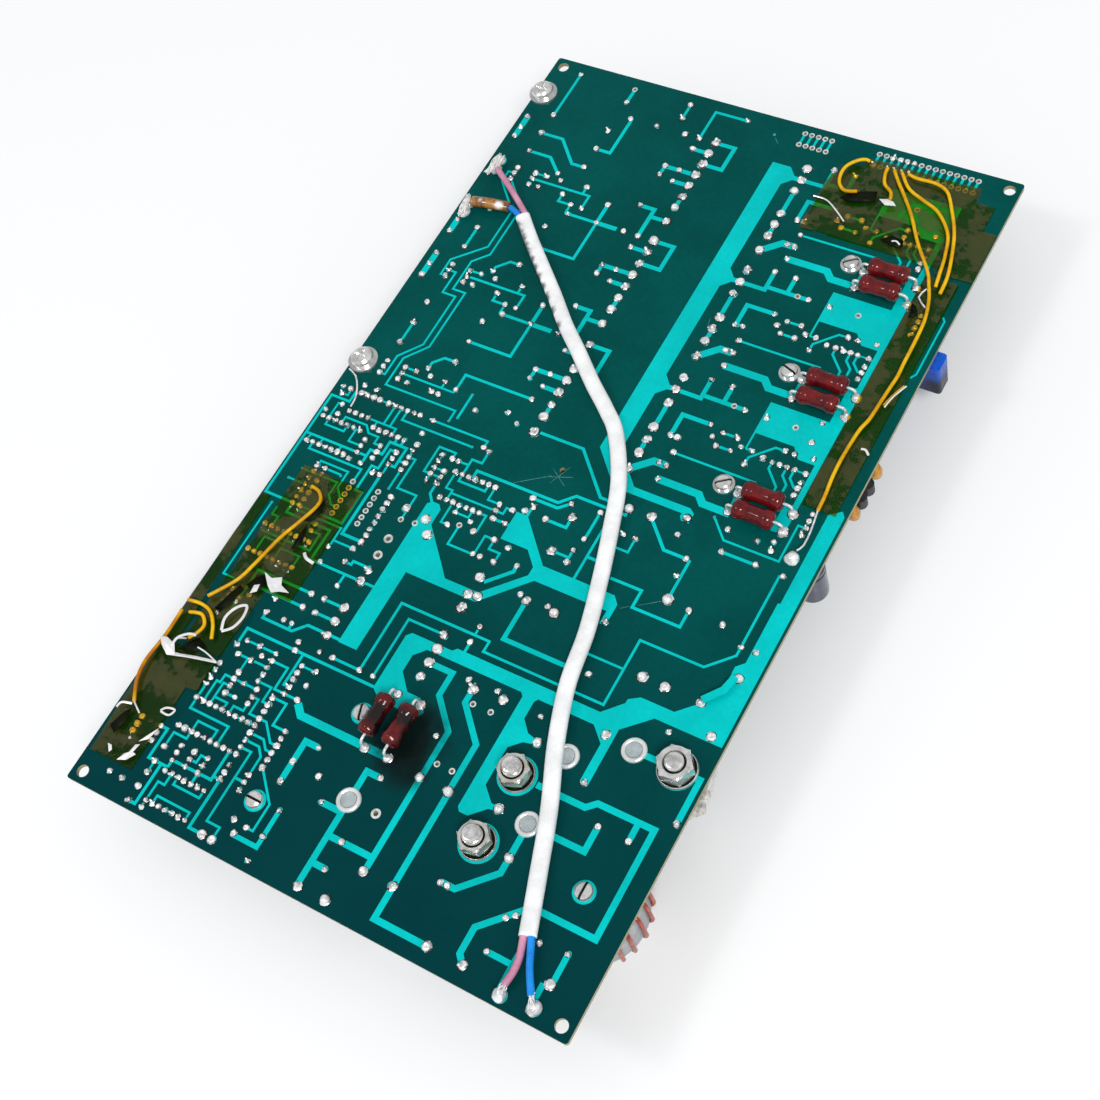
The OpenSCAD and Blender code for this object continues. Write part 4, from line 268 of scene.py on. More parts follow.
@dataclass(frozen=True)
class Finish:
    """One plain finish, varied in soft patches.

    Args:
        name: The material's name.
        low: The darker colour.
        high: The lighter colour.
        scale: Patches to the metre.
        fine: Grains to the metre.
        rough: Roughness in the dark and in the light patches.
        metallic: 1 for bare metal.
        coat: Weight of a clear coat.
        bump: Height of the grain in metres.
        specular: Strength of the plain reflection.
    """

    name: str
    low: Colour
    high: Colour
    scale: float = 60.0
    fine: float = 1200.0
    rough: tuple[float, float] = (0.4, 0.5)
    metallic: float = 0.0
    coat: float = 0.0
    bump: float = 0.00002
    specular: float = 0.5

    def start(self) -> tuple[bpy.types.Material, bpy.types.Node, bpy.types.Node, object]:
        """Make the material with its shader and its mottle.

        Returns:
            The material, its shader, the mottle node and the Object coordinates' socket.
        """
        made = bpy.data.materials.new(self.name)
        made.use_nodes = True
        tree = made.node_tree
        shader = tree.nodes["Principled BSDF"]
        shader.inputs["Metallic"].default_value = self.metallic
        shader.inputs["Coat Weight"].default_value = self.coat
        shader.inputs["Coat Roughness"].default_value = 0.08
        shader.inputs["Specular IOR Level"].default_value = self.specular
        place = add_node(tree, "ShaderNodeTexCoord").outputs["Object"]
        mottle = add_node(tree, "ShaderNodeGroup", node_tree=MOTTLE)
        tree.links.new(place, mottle.inputs["Vector"])
        mottle.inputs["Low"].default_value = (*self.low, 1.0)
        mottle.inputs["High"].default_value = (*self.high, 1.0)
        mottle.inputs["Scale"].default_value = self.scale
        mottle.inputs["Fine Scale"].default_value = self.fine
        tree.links.new(mottle.outputs["Color"], shader.inputs["Base Color"])
        span = add_node(tree, "ShaderNodeMapRange")
        tree.links.new(mottle.outputs["Share"], span.inputs["Value"])
        span.inputs["To Min"].default_value = self.rough[0]
        span.inputs["To Max"].default_value = self.rough[1]
        tree.links.new(span.outputs["Result"], shader.inputs["Roughness"])
        if self.bump:
            raised = add_node(tree, "ShaderNodeBump")
            raised.inputs["Distance"].default_value = self.bump
            tree.links.new(mottle.outputs["Height"], raised.inputs["Height"])
            tree.links.new(raised.outputs["Normal"], shader.inputs["Normal"])
        return made, shader, mottle, place

    def make(self) -> bpy.types.Material:
        """Return the finished material."""
        return self.start()[0]


@dataclass(frozen=True)
class StainedAndShadedFinish(Finish):
    """A finish with real stains, patches of painted shade and painted highlight at some places, and painted shade
    towards its lower end.

    Args:
        stains_and_painted_light: For each stain and each patch of painted shade and highlight its centre in metres,
            its radius and its strength.
        stain_and_painted_light_colour: The colour of the stains and of the painted shade and highlight.
        patch_scale: Waves to the metre along the patches' ragged edge.
        edge: Colour of the sides, or None where they are as the faces.
        shade: Painted shade: how much darker the faces grow towards the lower end in Y.
    """

    stains_and_painted_light: tuple[tuple[Point, float, float], ...] = ()
    stain_and_painted_light_colour: Colour = (0.004, 0.006, 0.006)
    patch_scale: float = 120.0
    edge: Colour | None = None
    shade: float = 0.0

    def make(self) -> bpy.types.Material:
        """Return the material with its stains and its painted light mixed in."""
        made, shader, mottle, place = self.start()
        tree = made.node_tree
        colour = mottle.outputs["Color"]
        # Painted shade: the faces darken towards the lower end in Y, the blue falling half as much.
        if self.shade:
            apart = add_node(tree, "ShaderNodeSeparateXYZ")
            tree.links.new(place, apart.inputs[0])
            down = ramped(tree, apart.outputs["Y"], 0.02, -0.15)
            dark = (self.low[0], self.low[1] * (1 - self.shade), self.low[2] * (1 - self.shade / 2))
            colour = mixed(tree, maths(tree, "MULTIPLY", down, 0.8), colour, dark)
        # The entries are real stains, and for some finishes patches of painted shade and painted highlight.
        for centre, radius, strength in self.stains_and_painted_light:
            patch = add_node(tree, "ShaderNodeGroup", node_tree=RAGGED_PATCH)
            tree.links.new(place, patch.inputs["Vector"])
            patch.inputs["Centre"].default_value = centre
            patch.inputs["Radius"].default_value = radius
            patch.inputs["Scale"].default_value = self.patch_scale
            share = maths(tree, "MULTIPLY", patch.outputs["Share"], strength)
            colour = mixed(tree, share, colour, self.stain_and_painted_light_colour)
        if self.edge is not None:
            facing = add_node(tree, "ShaderNodeNewGeometry")
            apart = add_node(tree, "ShaderNodeSeparateXYZ")
            tree.links.new(facing.outputs["Normal"], apart.inputs[0])
            flat = ramped(tree, maths(tree, "ABSOLUTE", apart.outputs["Z"]), 0.4, 0.6)
            colour = mixed(tree, flat, self.edge, colour)
        tree.links.new(through_film(tree, place, colour), shader.inputs["Base Color"])
        return made


@dataclass(frozen=True)
class SolderFinish(Finish):
    """Bright solder with specks of dark flux, and a dark band round its foot that is partly flux and partly painted
    shade.

    Args:
        flux_and_painted_shade: Colour of the burnt flux and of the painted shade at the foot.
        flux_top: Height in metres above which no flux stays.
        foot: Height in metres up to which everything is painted dark, partly flux and partly painted shade.
    """

    flux_and_painted_shade: Colour = (0.02, 0.018, 0.014)
    flux_top: float = 0.0006
    foot: float = 0.0002

    def make(self) -> bpy.types.Material:
        """Return the material, dark where the flux and the painted shade at the foot are."""
        made, shader, mottle, place = self.start()
        tree = made.node_tree
        apart = add_node(tree, "ShaderNodeSeparateXYZ")
        tree.links.new(place, apart.inputs[0])
        specks = add_node(tree, "ShaderNodeTexNoise")
        specks.inputs["Scale"].default_value = 700.0
        specks.inputs["Detail"].default_value = 3.0
        tree.links.new(place, specks.inputs["Vector"])
        low = maths(tree, "SUBTRACT", 1.0, ramped(tree, apart.outputs["Z"], 0.00012, self.flux_top))
        dirty = ramped(tree, specks.outputs["Fac"], 0.46, 0.6)
        share = maths(tree, "MULTIPLY", maths(tree, "ADD", low, 0.3), dirty, clamp=True)
        # The dark band all round the foot is partly flux and partly painted shade.
        foot = maths(tree, "SUBTRACT", 1.0, ramped(tree, apart.outputs["Z"], self.foot, self.foot + 0.00008))
        above = ramped(tree, apart.outputs["Z"], 0.0, 0.00005)
        share = maths(tree, "MAXIMUM", share, maths(tree, "MULTIPLY", foot, above))
        colour = mixed(tree, share, mottle.outputs["Color"], self.flux_and_painted_shade)
        tree.links.new(through_film(tree, place, colour), shader.inputs["Base Color"])
        return made


@dataclass(frozen=True)
class FilmFinish(Finish):
    """Clear coloured film.

    Args:
        alpha: Opacity in the clear and in the dense patches.
    """

    alpha: tuple[float, float] = (0.4, 0.8)

    def make(self) -> bpy.types.Material:
        """Return the see-through material."""
        made, shader, mottle, _ = self.start()
        tree = made.node_tree
        span = add_node(tree, "ShaderNodeMapRange")
        tree.links.new(ramped(tree, mottle.outputs["Share"], 0.4, 0.56), span.inputs["Value"])
        span.inputs["To Min"].default_value = self.alpha[0]
        span.inputs["To Max"].default_value = self.alpha[1]
        tree.links.new(span.outputs["Result"], shader.inputs["Alpha"])
        made.surface_render_method = "BLENDED"
        return made


DISC_PLACES = tuple(
    (((u - 35.5) * PITCH, (61 - v) * PITCH, MM), 3.1 * MM, 0.75)
    for u, v in ((61.75, 90.1), (55, 94), (55, 102.9), (34.25, 109.4))
)
BRASSY_PLACES = (((0.0391, -0.095, 0.004), 0.007, 0.45), ((0.0391, -0.1173, 0.004), 0.007, 0.3))
GRIMY_PLACES = tuple(
    ((x * MM, y * MM, 3.2 * MM), r * MM, 0.85)
    for x, y, r in (
        (-62.4, 77.8, 3.2), (-60.2, 75.8, 3), (-57.8, 73.6, 3.1), (-55.6, 71.4, 2.8), (-53, 69.4, 2.6),
        (-50.4, 67, 2.7), (-47.6, 64.6, 2.5), (-44.6, 61.8, 2.7), (-41, 58.8, 2.3), (-37.4, 55.4, 2.5),
        (-32.6, 51.2, 2.2), (-27.8, 46.8, 2.3),
    )
)
CHARRED_PLACES = (
    ((-0.0075, -0.0975, 0.007), 0.0055, 1.0), ((-0.0045, -0.101, 0.005), 0.0045, 1.0),
    ((0.0015, -0.0955, 0.0065), 0.0045, 1.0), ((0.0035, -0.1005, 0.004), 0.004, 0.9),
)
ORANGE_PLACES = tuple(
    ((x * MM, y * MM, 1.5 * MM), 5 * MM, 0.85)
    for x, y in (
        (-90.7, -91), (-90.3, -97.7), (-89.4, -104.4), (-88.8, -110.5), (-87.5, -116.4), (-86, -121.5),
    )
)
# Painted highlights: near-white patches on the brown splice wrap.
SPLICE_HIGHLIGHT_PLACES = (((-0.0733, 0.0836, 0.0047), 0.0021, 1.0), ((-0.0805, 0.0832, 0.0046), 0.0012, 0.5))
BURNT_PLACES = (((0.003, -0.0985, 0.0), 0.016, 0.9), ((0.005, -0.107, 0.0), 0.011, 0.7))

FINISHES: dict[str, Finish] = {
    # The board's shade darkens it towards its lower end in Y as painted shade.
    "board": StainedAndShadedFinish(
        "green_laminate", (0.0, 0.056, 0.050), (0.0, 0.083, 0.077), 22, 600, (0.16, 0.26),
        bump=0.00001, specular=0.05, stains_and_painted_light=BURNT_PLACES, edge=(0.34, 0.31, 0.19), shade=0.4,
    ),
    "copper": StainedAndShadedFinish(
        "lacquered_copper", (0.0, 0.43, 0.42), (0.0, 0.57, 0.565), 30, 700, (0.18, 0.3),
        bump=0.00001, specular=0.08, stains_and_painted_light=BURNT_PLACES, stain_and_painted_light_colour=(0.0, 0.05, 0.05),
    ),
    "solder": SolderFinish(
        "bright_solder", (0.86, 0.87, 0.88), (1.0, 1.0, 1.0), 500, 2500, (0.08, 0.25), 0.38, bump=0.00006
    ),
    "ring": SolderFinish(
        "tinned_ring", (0.74, 0.76, 0.76), (0.98, 0.98, 0.98), 500, 2500, (0.15, 0.3), 0.5, flux_top=0.0002, foot=0.0
    ),
    "screw": StainedAndShadedFinish(
        "zinc_plate", (0.58, 0.58, 0.56), (0.95, 0.94, 0.92), 300, 2600, (0.12, 0.28), 0.72,
        stains_and_painted_light=BRASSY_PLACES, stain_and_painted_light_colour=(0.62, 0.48, 0.26), patch_scale=500.0,
    ),
    "washer": Finish("bright_plate", (0.50, 0.51, 0.51), (0.80, 0.80, 0.79), 200, 2000, (0.14, 0.28), 0.8),
    "resistor": StainedAndShadedFinish(
        "resistor_glaze", (0.05, 0.002, 0.003), (0.19, 0.006, 0.008), 260, 900, (0.1, 0.2), coat=0.7,
        bump=0.00002, specular=0.06, stains_and_painted_light=CHARRED_PLACES, stain_and_painted_light_colour=(0.008, 0.004, 0.004), patch_scale=420.0,
    ),
    "sleeve": StainedAndShadedFinish(
        "white_sleeve", (0.74, 0.75, 0.75), (0.92, 0.93, 0.94), 130, 1500, (0.55, 0.7),
        stains_and_painted_light=GRIMY_PLACES, stain_and_painted_light_colour=(0.035, 0.035, 0.035), patch_scale=650.0,
    ),
    "disc": StainedAndShadedFinish(
        "tinned_disc", (0.66, 0.67, 0.67), (0.90, 0.91, 0.91), 200, 2000, (0.2, 0.35), 0.4, bump=0.00003,
        stains_and_painted_light=DISC_PLACES, stain_and_painted_light_colour=(0.50, 0.54, 0.55), patch_scale=300.0,
    ),
    "disc_face": Finish("dull_tin", (0.30, 0.36, 0.38), (0.48, 0.54, 0.55), 200, 1500, (0.3, 0.45), 0.2),
    # Painted shade: a near-black finish for slots, creases, gaps and edges where shade falls.
    "painted_shade": Finish("painted_dark_shade", (0.0, 0.001, 0.0), (0.006, 0.01, 0.001), 200, 1500, (0.4, 0.6), specular=0.1),
    "pink": Finish("pink_insulation", (0.50, 0.19, 0.30), (0.66, 0.32, 0.45), 120, 1200, (0.3, 0.4)),
    "blue": Finish("blue_insulation", (0.0, 0.17, 0.62), (0.0, 0.30, 0.85), 120, 1200, (0.25, 0.35)),
    "yellow": StainedAndShadedFinish(
        "yellow_insulation", (0.55, 0.26, 0.0), (0.88, 0.53, 0.004), 90, 1200, (0.25, 0.4), specular=0.25,
        stains_and_painted_light=ORANGE_PLACES, stain_and_painted_light_colour=(0.42, 0.11, 0.002), patch_scale=200.0,
    ),
    # The near-white patches on the wrap are painted highlights.
    "splice": StainedAndShadedFinish(
        "brown_wrap", (0.10, 0.035, 0.01), (0.46, 0.20, 0.03), 260, 1200, (0.08, 0.25), coat=0.8,
        stains_and_painted_light=SPLICE_HIGHLIGHT_PLACES, stain_and_painted_light_colour=(0.85, 0.84, 0.82), patch_scale=400.0,
    ),
    "tape": FilmFinish(
        "amber_film", (0.008, 0.028, 0.0), (0.082, 0.076, 0.012), 75, 500, (0.03, 0.1), specular=0.8,
        alpha=(0.2, 0.55),
    ),
    "ferrite": Finish("grey_ferrite", (0.035, 0.036, 0.04), (0.07, 0.072, 0.078), 500, 3000, (0.5, 0.7)),
    "plastic": Finish("black_plastic", (0.012, 0.012, 0.013), (0.03, 0.03, 0.032), 300, 2500, (0.4, 0.6)),
    "coil_tape": Finish("amber_coil_tape", (0.42, 0.24, 0.03), (0.62, 0.40, 0.06), 120, 900, (0.2, 0.35), coat=0.4),
    "sink": Finish("anodised_metal", (0.30, 0.31, 0.33), (0.45, 0.46, 0.48), 200, 2200, (0.35, 0.5), 0.9),
    "can": Finish("dark_blue_sleeve", (0.008, 0.012, 0.04), (0.02, 0.03, 0.08), 200, 1500, (0.2, 0.3), coat=0.5),
    # The dark patch on the lower part of the blue case is painted shade.
    "film_case": StainedAndShadedFinish(
        "blue_case_with_painted_shade", (0.0, 0.05, 0.42), (0.0, 0.11, 0.62), 200, 1500, (0.25, 0.4), specular=0.3,
        stains_and_painted_light=(((0.091, 0.0817, -0.0135), 0.0105, 1.0),), stain_and_painted_light_colour=(0.003, 0.006, 0.02),
    ),
    "choke": Finish("grey_core_paint", (0.28, 0.30, 0.32), (0.45, 0.47, 0.50), 300, 1800, (0.4, 0.6)),
    "wire": Finish("enamelled_wire", (0.28, 0.035, 0.015), (0.50, 0.10, 0.05), 300, 1500, (0.18, 0.32), 0.4),
    "cup": Finish("white_nylon", (0.60, 0.59, 0.55), (0.75, 0.74, 0.70), 150, 1500, (0.5, 0.65)),
    "axial": Finish("tan_coat", (0.34, 0.22, 0.11), (0.52, 0.38, 0.21), 400, 1800, (0.3, 0.45)),
    "steel": Finish("dull_steel", (0.42, 0.41, 0.40), (0.92, 0.91, 0.90), 400, 2600, (0.15, 0.3), 0.6, bump=0.00003),
    "compound": Finish("white_compound", (0.28, 0.25, 0.22), (0.72, 0.71, 0.69), 420, 1500, (0.6, 0.8), bump=0.0002),
    "strand": Finish("tinned_strand", (0.66, 0.65, 0.63), (1.0, 1.0, 0.99), 900, 3000, (0.25, 0.4), 0.2),
    # Bright foil, used also for painted glints on the tape.
    "foil_and_painted_glint": Finish("bright_foil_and_painted_glint", (0.80, 0.80, 0.80), (1.0, 1.0, 1.0), 300, 900, (0.1, 0.25), 0.35),
    "scratch": Finish("pale_scratch", (0.04, 0.20, 0.19), (0.16, 0.42, 0.40), 300, 900, (0.3, 0.5)),
    "bead": Finish("amber_bead_coat", (0.34, 0.13, 0.004), (0.66, 0.30, 0.01), 400, 1800, (0.2, 0.35), coat=0.4),
}

NODE_FINISHES: dict[str, str] = {
    "circuit_board": "board", "driver_copper": "copper", "stage_copper": "copper", "control_copper": "copper",
    "output_copper": "copper", "ring_pads": "ring", "stud_discs": "disc", "slotted_screws": "screw",
    "slotted_washers": "washer", "cross_head_screws": "screw", "cross_head_washers": "washer",
    "resistor_leads": "solder", "solder_strap": "copper",
    "bare_leads": "solder", "transformer_cores": "ferrite", "transformer_formers": "plastic",
    "transformer_windings": "coil_tape", "heat_sinks": "sink", "power_transistors": "plastic",
    "transistor_legs": "solder", "filter_capacitors": "can", "small_cans": "can", "film_capacitors": "film_case",
    "choke_core": "choke", "choke_cup": "cup",
    "chips": "plastic", "chip_legs": "solder", "axial_parts": "axial", "axial_leads": "solder",
    "headers": "plastic", "edge_beads": "bead", "edge_transistors": "plastic",
}

MATERIALS: dict[str, bpy.types.Material] = {key: finish.make() for key, finish in FINISHES.items()}


# Meshes


def finished(name: str, mesh: bpy.types.Mesh, key: str, *nodes: str, smooth: bool = True) -> bpy.types.Object:
    """Put a mesh into the scene as a piece of the object.

    Args:
        name: The piece's name.
        mesh: Its mesh, in place.
        key: The finish that it takes.
        nodes: The CAD nodes that it stands for.
        smooth: Whether its faces are shaded smooth.

    Returns:
        The new object, riding on the one body.
    """
    made = bpy.data.objects.new(name, mesh)
    bpy.context.scene.collection.objects.link(made)
    mesh.materials.clear()
    mesh.materials.append(MATERIALS[key])
    mesh.polygons.foreach_set("use_smooth", [smooth] * len(mesh.polygons))
    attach(made, BODY)
    if nodes:
        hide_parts(*nodes)
    LOG.info("%s: %d faces", name, len(mesh.polygons))
    return made


def mesh_from(name: str, points: list[Point], faces: list[tuple[int, ...]]) -> bpy.types.Mesh:
    """Make a mesh of points and faces, with its faces turned outwards."""
    mesh = bpy.data.meshes.new(name)
    mesh.from_pydata(points, [], faces)
    shape = bmesh.new()
    shape.from_mesh(mesh)
    bmesh.ops.recalc_face_normals(shape, faces=shape.faces)
    shape.to_mesh(mesh)
    shape.free()
    return mesh


def joined(name: str, parts: list[tuple[list[Point], list[tuple[int, ...]]]]) -> bpy.types.Mesh:
    """Join lists of points and faces into one mesh."""
    points: list[Point] = []
    faces: list[tuple[int, ...]] = []
    for some, rings in parts:
        faces += [tuple(i + len(points) for i in ring) for ring in rings]
        points += some
    return mesh_from(name, points, faces)


def lathe(profile: list[tuple[float, float]], sides: int) -> tuple[list[Point], list[tuple[int, ...]]]:
    """Turn a profile about Z.

    Args:
        profile: Points of radius and height, the ends on or near the axis.
        sides: Faces round the axis.

    Returns:
        The points and the faces, closed at both ends.
    """
    points: list[Point] = []
    faces: list[tuple[int, ...]] = []
    for r, z in profile:
        for k in range(sides):
            a = 2 * math.pi * k / sides
            points.append((r * math.cos(a), r * math.sin(a), z))
    for i in range(len(profile) - 1):
        for k in range(sides):
            m = (k + 1) % sides
            faces.append((i * sides + k, i * sides + m, (i + 1) * sides + m, (i + 1) * sides + k))
    faces.append(tuple(range(sides - 1, -1, -1)))
    faces.append(tuple((len(profile) - 1) * sides + k for k in range(sides)))
    return points, faces


def smooth_route(route: list[Point], steps: int) -> list[Vector]:
    """Return a smooth curve through a route's points, in metres, from millimetres."""
    p = [Vector(q) * MM for q in route]
    last = len(p) - 1
    found = []
    for i in range(last):
        a, b, c, d = p[max(i - 1, 0)], p[i], p[i + 1], p[min(i + 2, last)]
        for s in range(steps):
            t = s / steps
            found.append(
                b + (c - a) * t / 2 + (2 * a - 5 * b + 4 * c - d) * t * t / 2
                + (3 * b - a - 3 * c + d) * t**3 / 2
            )
    return found + [p[last]]


def swept(
    line: list[Vector], width: float, height: float, sides: int = 12, squareness: float = 1.0,
    crumple: float = 0.0,
) -> tuple[list[Point], list[tuple[int, ...]]]:
    """Sweep an oval section along a line.

    Args:
        line: The section's centres, in metres.
        width: The section's width in metres, flat on the board.
        height: Its height in metres.
        sides: Points round the section.
        squareness: Below 1 the section's sides grow flatter.
        crumple: How far, as a share of the height, the surface wanders.

    Returns:
        The points and the faces of the closed tube.
    """
    points: list[Point] = []
    faces: list[tuple[int, ...]] = []
    last = len(line) - 1
    for i, centre in enumerate(line):
        along = (line[min(i + 1, last)] - line[max(i - 1, 0)]).normalized()
        side = along.cross(Vector((0, 0, 1))).normalized()
        up = side.cross(along)
        for k in range(sides):
            a = 2 * math.pi * (k + 0.5) / sides
            x, z = math.cos(a), math.sin(a)
            x = math.copysign(abs(x) ** squareness, x)
            z = math.copysign(abs(z) ** squareness, z)
            at = centre + side * (x * width / 2) + up * (z * height / 2)
            if crumple:
                at += up * noise.noise(at * 170) * crumple * height
            points.append(tuple(at))
    for i in range(last):
        for k in range(sides):
            m = (k + 1) % sides
            faces.append((i * sides + k, i * sides + m, (i + 1) * sides + m, (i + 1) * sides + k))
    faces.append(tuple(range(sides - 1, -1, -1)))
    faces.append(tuple(last * sides + k for k in range(sides)))
    return points, faces


def solids_of(node: str) -> list[tuple[Vector, Vector]]:
    """Return the lowest and highest corner of each separate solid of a CAD node."""
    shape = bmesh.new()
    shape.from_mesh(bpy.data.objects[node].data)
    bmesh.ops.remove_doubles(shape, verts=shape.verts, dist=1e-6)
    seen: set[int] = set()
    found = []
    for first in shape.verts:
        if first.index in seen:
            continue
        seen.add(first.index)
        stack, low, high = [first], first.co.copy(), first.co.copy()
        while stack:
            here = stack.pop()
            low = Vector(map(min, low, here.co))
            high = Vector(map(max, high, here.co))
            for edge in here.link_edges:
                other = edge.other_vert(here)
                if other.index not in seen:
                    seen.add(other.index)
                    stack.append(other)
        found.append((low, high))
    shape.free()
    return found


# Sub-assemblies


@dataclass
class SolderJoints:
    """Every joint of a kind, placed where the CAD solids stand.

    Args:
        nodes: The CAD nodes that they stand for.
        ground: What they stand on.
        lean: Greatest tilt in radians.
        seed: Seed of their order.
    """

    nodes: tuple[str, ...]
    ground: Ground
    lean: float = 0.1
    seed: int = 1
    sides: int = 9
    radius: float = field(init=False)
    height: float = field(init=False)

    def __post_init__(self) -> None:
        """Settle the joints' size from what they stand on."""
        large = self.ground is Ground.LARGE_PAD
        self.radius = (1.5 if large else 0.95) * MM
        self.height = (1.8 if large else 1.2) * MM

    def shapes(self) -> list[bpy.types.Object]:
        """Make the few shapes that the joints are taken from."""
        profiles = [
            [(1, 0.06), (0.82, 0.2), (0.52, 0.5), (0.38, 0.82), (0.2, 1), (0.02, 1.0)],
            [(1, 0.06), (0.95, 0.3), (0.75, 0.6), (0.45, 0.76), (0.22, 0.84), (0.02, 0.76)],
            [(0.95, 0.06), (0.7, 0.16), (0.42, 0.35), (0.33, 0.7), (0.33, 1.05), (0.02, 1.1)],
            [(1, 0.06), (0.98, 0.22), (0.86, 0.4), (0.55, 0.44), (0.3, 0.36), (0.02, 0.32)],
        ]
        # A flat ring round each joint's foot, painted dark by the solder finish: partly flux, partly painted shade.
        flux_and_painted_shade = [(1.24, 0), (1.2, 0.045)]
        leans = [(0, 0), (0.1, 0), (0.45, 0.1), (-0.05, 0.05)]
        made = []
        for i, (profile, (dx, dy)) in enumerate(zip(profiles, leans)):
            rings = [(r * self.radius, z * self.height) for r, z in flux_and_painted_shade + profile]
            points, faces = roughened(lathe(rings, self.sides), 0.14 * MM, 700 + 90 * i)
            moved = [
                (x + dx * self.radius * (z / self.height) ** 2, y + dy * self.radius * z / self.height, z)
                for x, y, z in points
            ]
            item = bpy.data.objects.new(f"joint_shape_{i}", mesh_from(f"joint_shape_{i}", moved, faces))
            bpy.context.scene.collection.objects.link(item)
            made.append(item)
        return made

    def tree(self, shapes: list[bpy.types.Object]) -> bpy.types.NodeTree:
        """Build the Geometry Nodes tree that sets a joint on each point.

        Args:
            shapes: The shapes to choose from.

        Returns:
            The tree, with its sizes as named inputs.
        """
        tree = bpy.data.node_groups.new("solder_joints", "GeometryNodeTree")
        tree.interface.new_socket(name="Geometry", in_out="INPUT", socket_type="NodeSocketGeometry")
        for label, kind in (("Lean", "NodeSocketFloat"), ("Seed", "NodeSocketInt"), ("Spread", "NodeSocketFloat")):
            tree.interface.new_socket(name=label, in_out="INPUT", socket_type=kind)
        tree.interface.new_socket(name="Geometry", in_out="OUTPUT", socket_type="NodeSocketGeometry")
        source, sink = tree.nodes.new("NodeGroupInput"), tree.nodes.new("NodeGroupOutput")
        gather = tree.nodes.new("GeometryNodeJoinGeometry")
        for item in reversed(shapes):
            info = tree.nodes.new("GeometryNodeObjectInfo")
            info.inputs["Object"].default_value = item
            info.inputs["As Instance"].default_value = True
            tree.links.new(info.outputs["Geometry"], gather.inputs["Geometry"])
        pick = add_node(tree, "FunctionNodeRandomValue", data_type="INT")
        pick.inputs[4].default_value = 0
        pick.inputs[5].default_value = len(shapes) - 1
        tree.links.new(source.outputs["Seed"], pick.inputs["Seed"])
        turn = add_node(tree, "FunctionNodeRandomValue", data_type="FLOAT_VECTOR")
        tilt = tree.nodes.new("ShaderNodeCombineXYZ")
        minus = tree.nodes.new("ShaderNodeMath")
        minus.operation = "MULTIPLY"
        minus.inputs[1].default_value = -1.0
        tree.links.new(source.outputs["Lean"], minus.inputs[0])
        for axis in ("X", "Y"):
            tree.links.new(source.outputs["Lean"], tilt.inputs[axis])
        tilt.inputs["Z"].default_value = 2 * math.pi
        under = tree.nodes.new("ShaderNodeCombineXYZ")
        for axis in ("X", "Y"):
            tree.links.new(minus.outputs[0], under.inputs[axis])
        tree.links.new(under.outputs[0], turn.inputs[0])
        tree.links.new(tilt.outputs[0], turn.inputs[1])
        grow = add_node(tree, "FunctionNodeRandomValue", data_type="FLOAT")
        low = add_node(tree, "ShaderNodeMath", operation="SUBTRACT")
        low.inputs[0].default_value = 1.0
        tree.links.new(source.outputs["Spread"], low.inputs[1])
        high = add_node(tree, "ShaderNodeMath", operation="ADD")
        high.inputs[0].default_value = 1.0
        tree.links.new(source.outputs["Spread"], high.inputs[1])
        tree.links.new(low.outputs[0], grow.inputs[2])
        tree.links.new(high.outputs[0], grow.inputs[3])
        stand = tree.nodes.new("GeometryNodeInstanceOnPoints")
        stand.inputs["Pick Instance"].default_value = True
        tree.links.new(source.outputs["Geometry"], stand.inputs["Points"])
        tree.links.new(gather.outputs["Geometry"], stand.inputs["Instance"])
        tree.links.new(pick.outputs[2], stand.inputs["Instance Index"])
        tree.links.new(turn.outputs[0], stand.inputs["Rotation"])
        tree.links.new(grow.outputs[1], stand.inputs["Scale"])
        whole = tree.nodes.new("GeometryNodeRealizeInstances")
        dress = tree.nodes.new("GeometryNodeSetMaterial")
        dress.inputs["Material"].default_value = MATERIALS["solder"]
        tree.links.new(stand.outputs["Instances"], whole.inputs["Geometry"])
        tree.links.new(whole.outputs["Geometry"], dress.inputs["Geometry"])
        tree.links.new(dress.outputs["Geometry"], sink.inputs["Geometry"])
        return tree

    def build(self) -> list[bpy.types.Object]:
        """Make one piece for each CAD node."""
        shapes = self.shapes()
        tree = self.tree(shapes)
        made = []
        for node in self.nodes:
            feet = [((a.x + b.x) / 2, (a.y + b.y) / 2, a.z) for a, b in solids_of(node)]
            seeds = bpy.data.meshes.new(f"{node}_feet")
            seeds.from_pydata(feet, [], [])
            holder = bpy.data.objects.new(f"{node}_feet", seeds)
            bpy.context.scene.collection.objects.link(holder)
            change = holder.modifiers.new("joints", "NODES")
            change.node_group = tree
            values = {"Lean": self.lean, "Seed": self.seed, "Spread": 0.12}
            for socket in tree.interface.items_tree:
                if socket.in_out == "INPUT" and socket.name in values:
                    change[socket.identifier] = values[socket.name]
            ready = holder.evaluated_get(bpy.context.evaluated_depsgraph_get())
            mesh = bpy.data.meshes.new_from_object(ready)
            bpy.data.objects.remove(holder)
            made.append(finished(f"{node}_solder", mesh, "solder", node))
        for item in shapes:
            bpy.data.objects.remove(item)
        return made


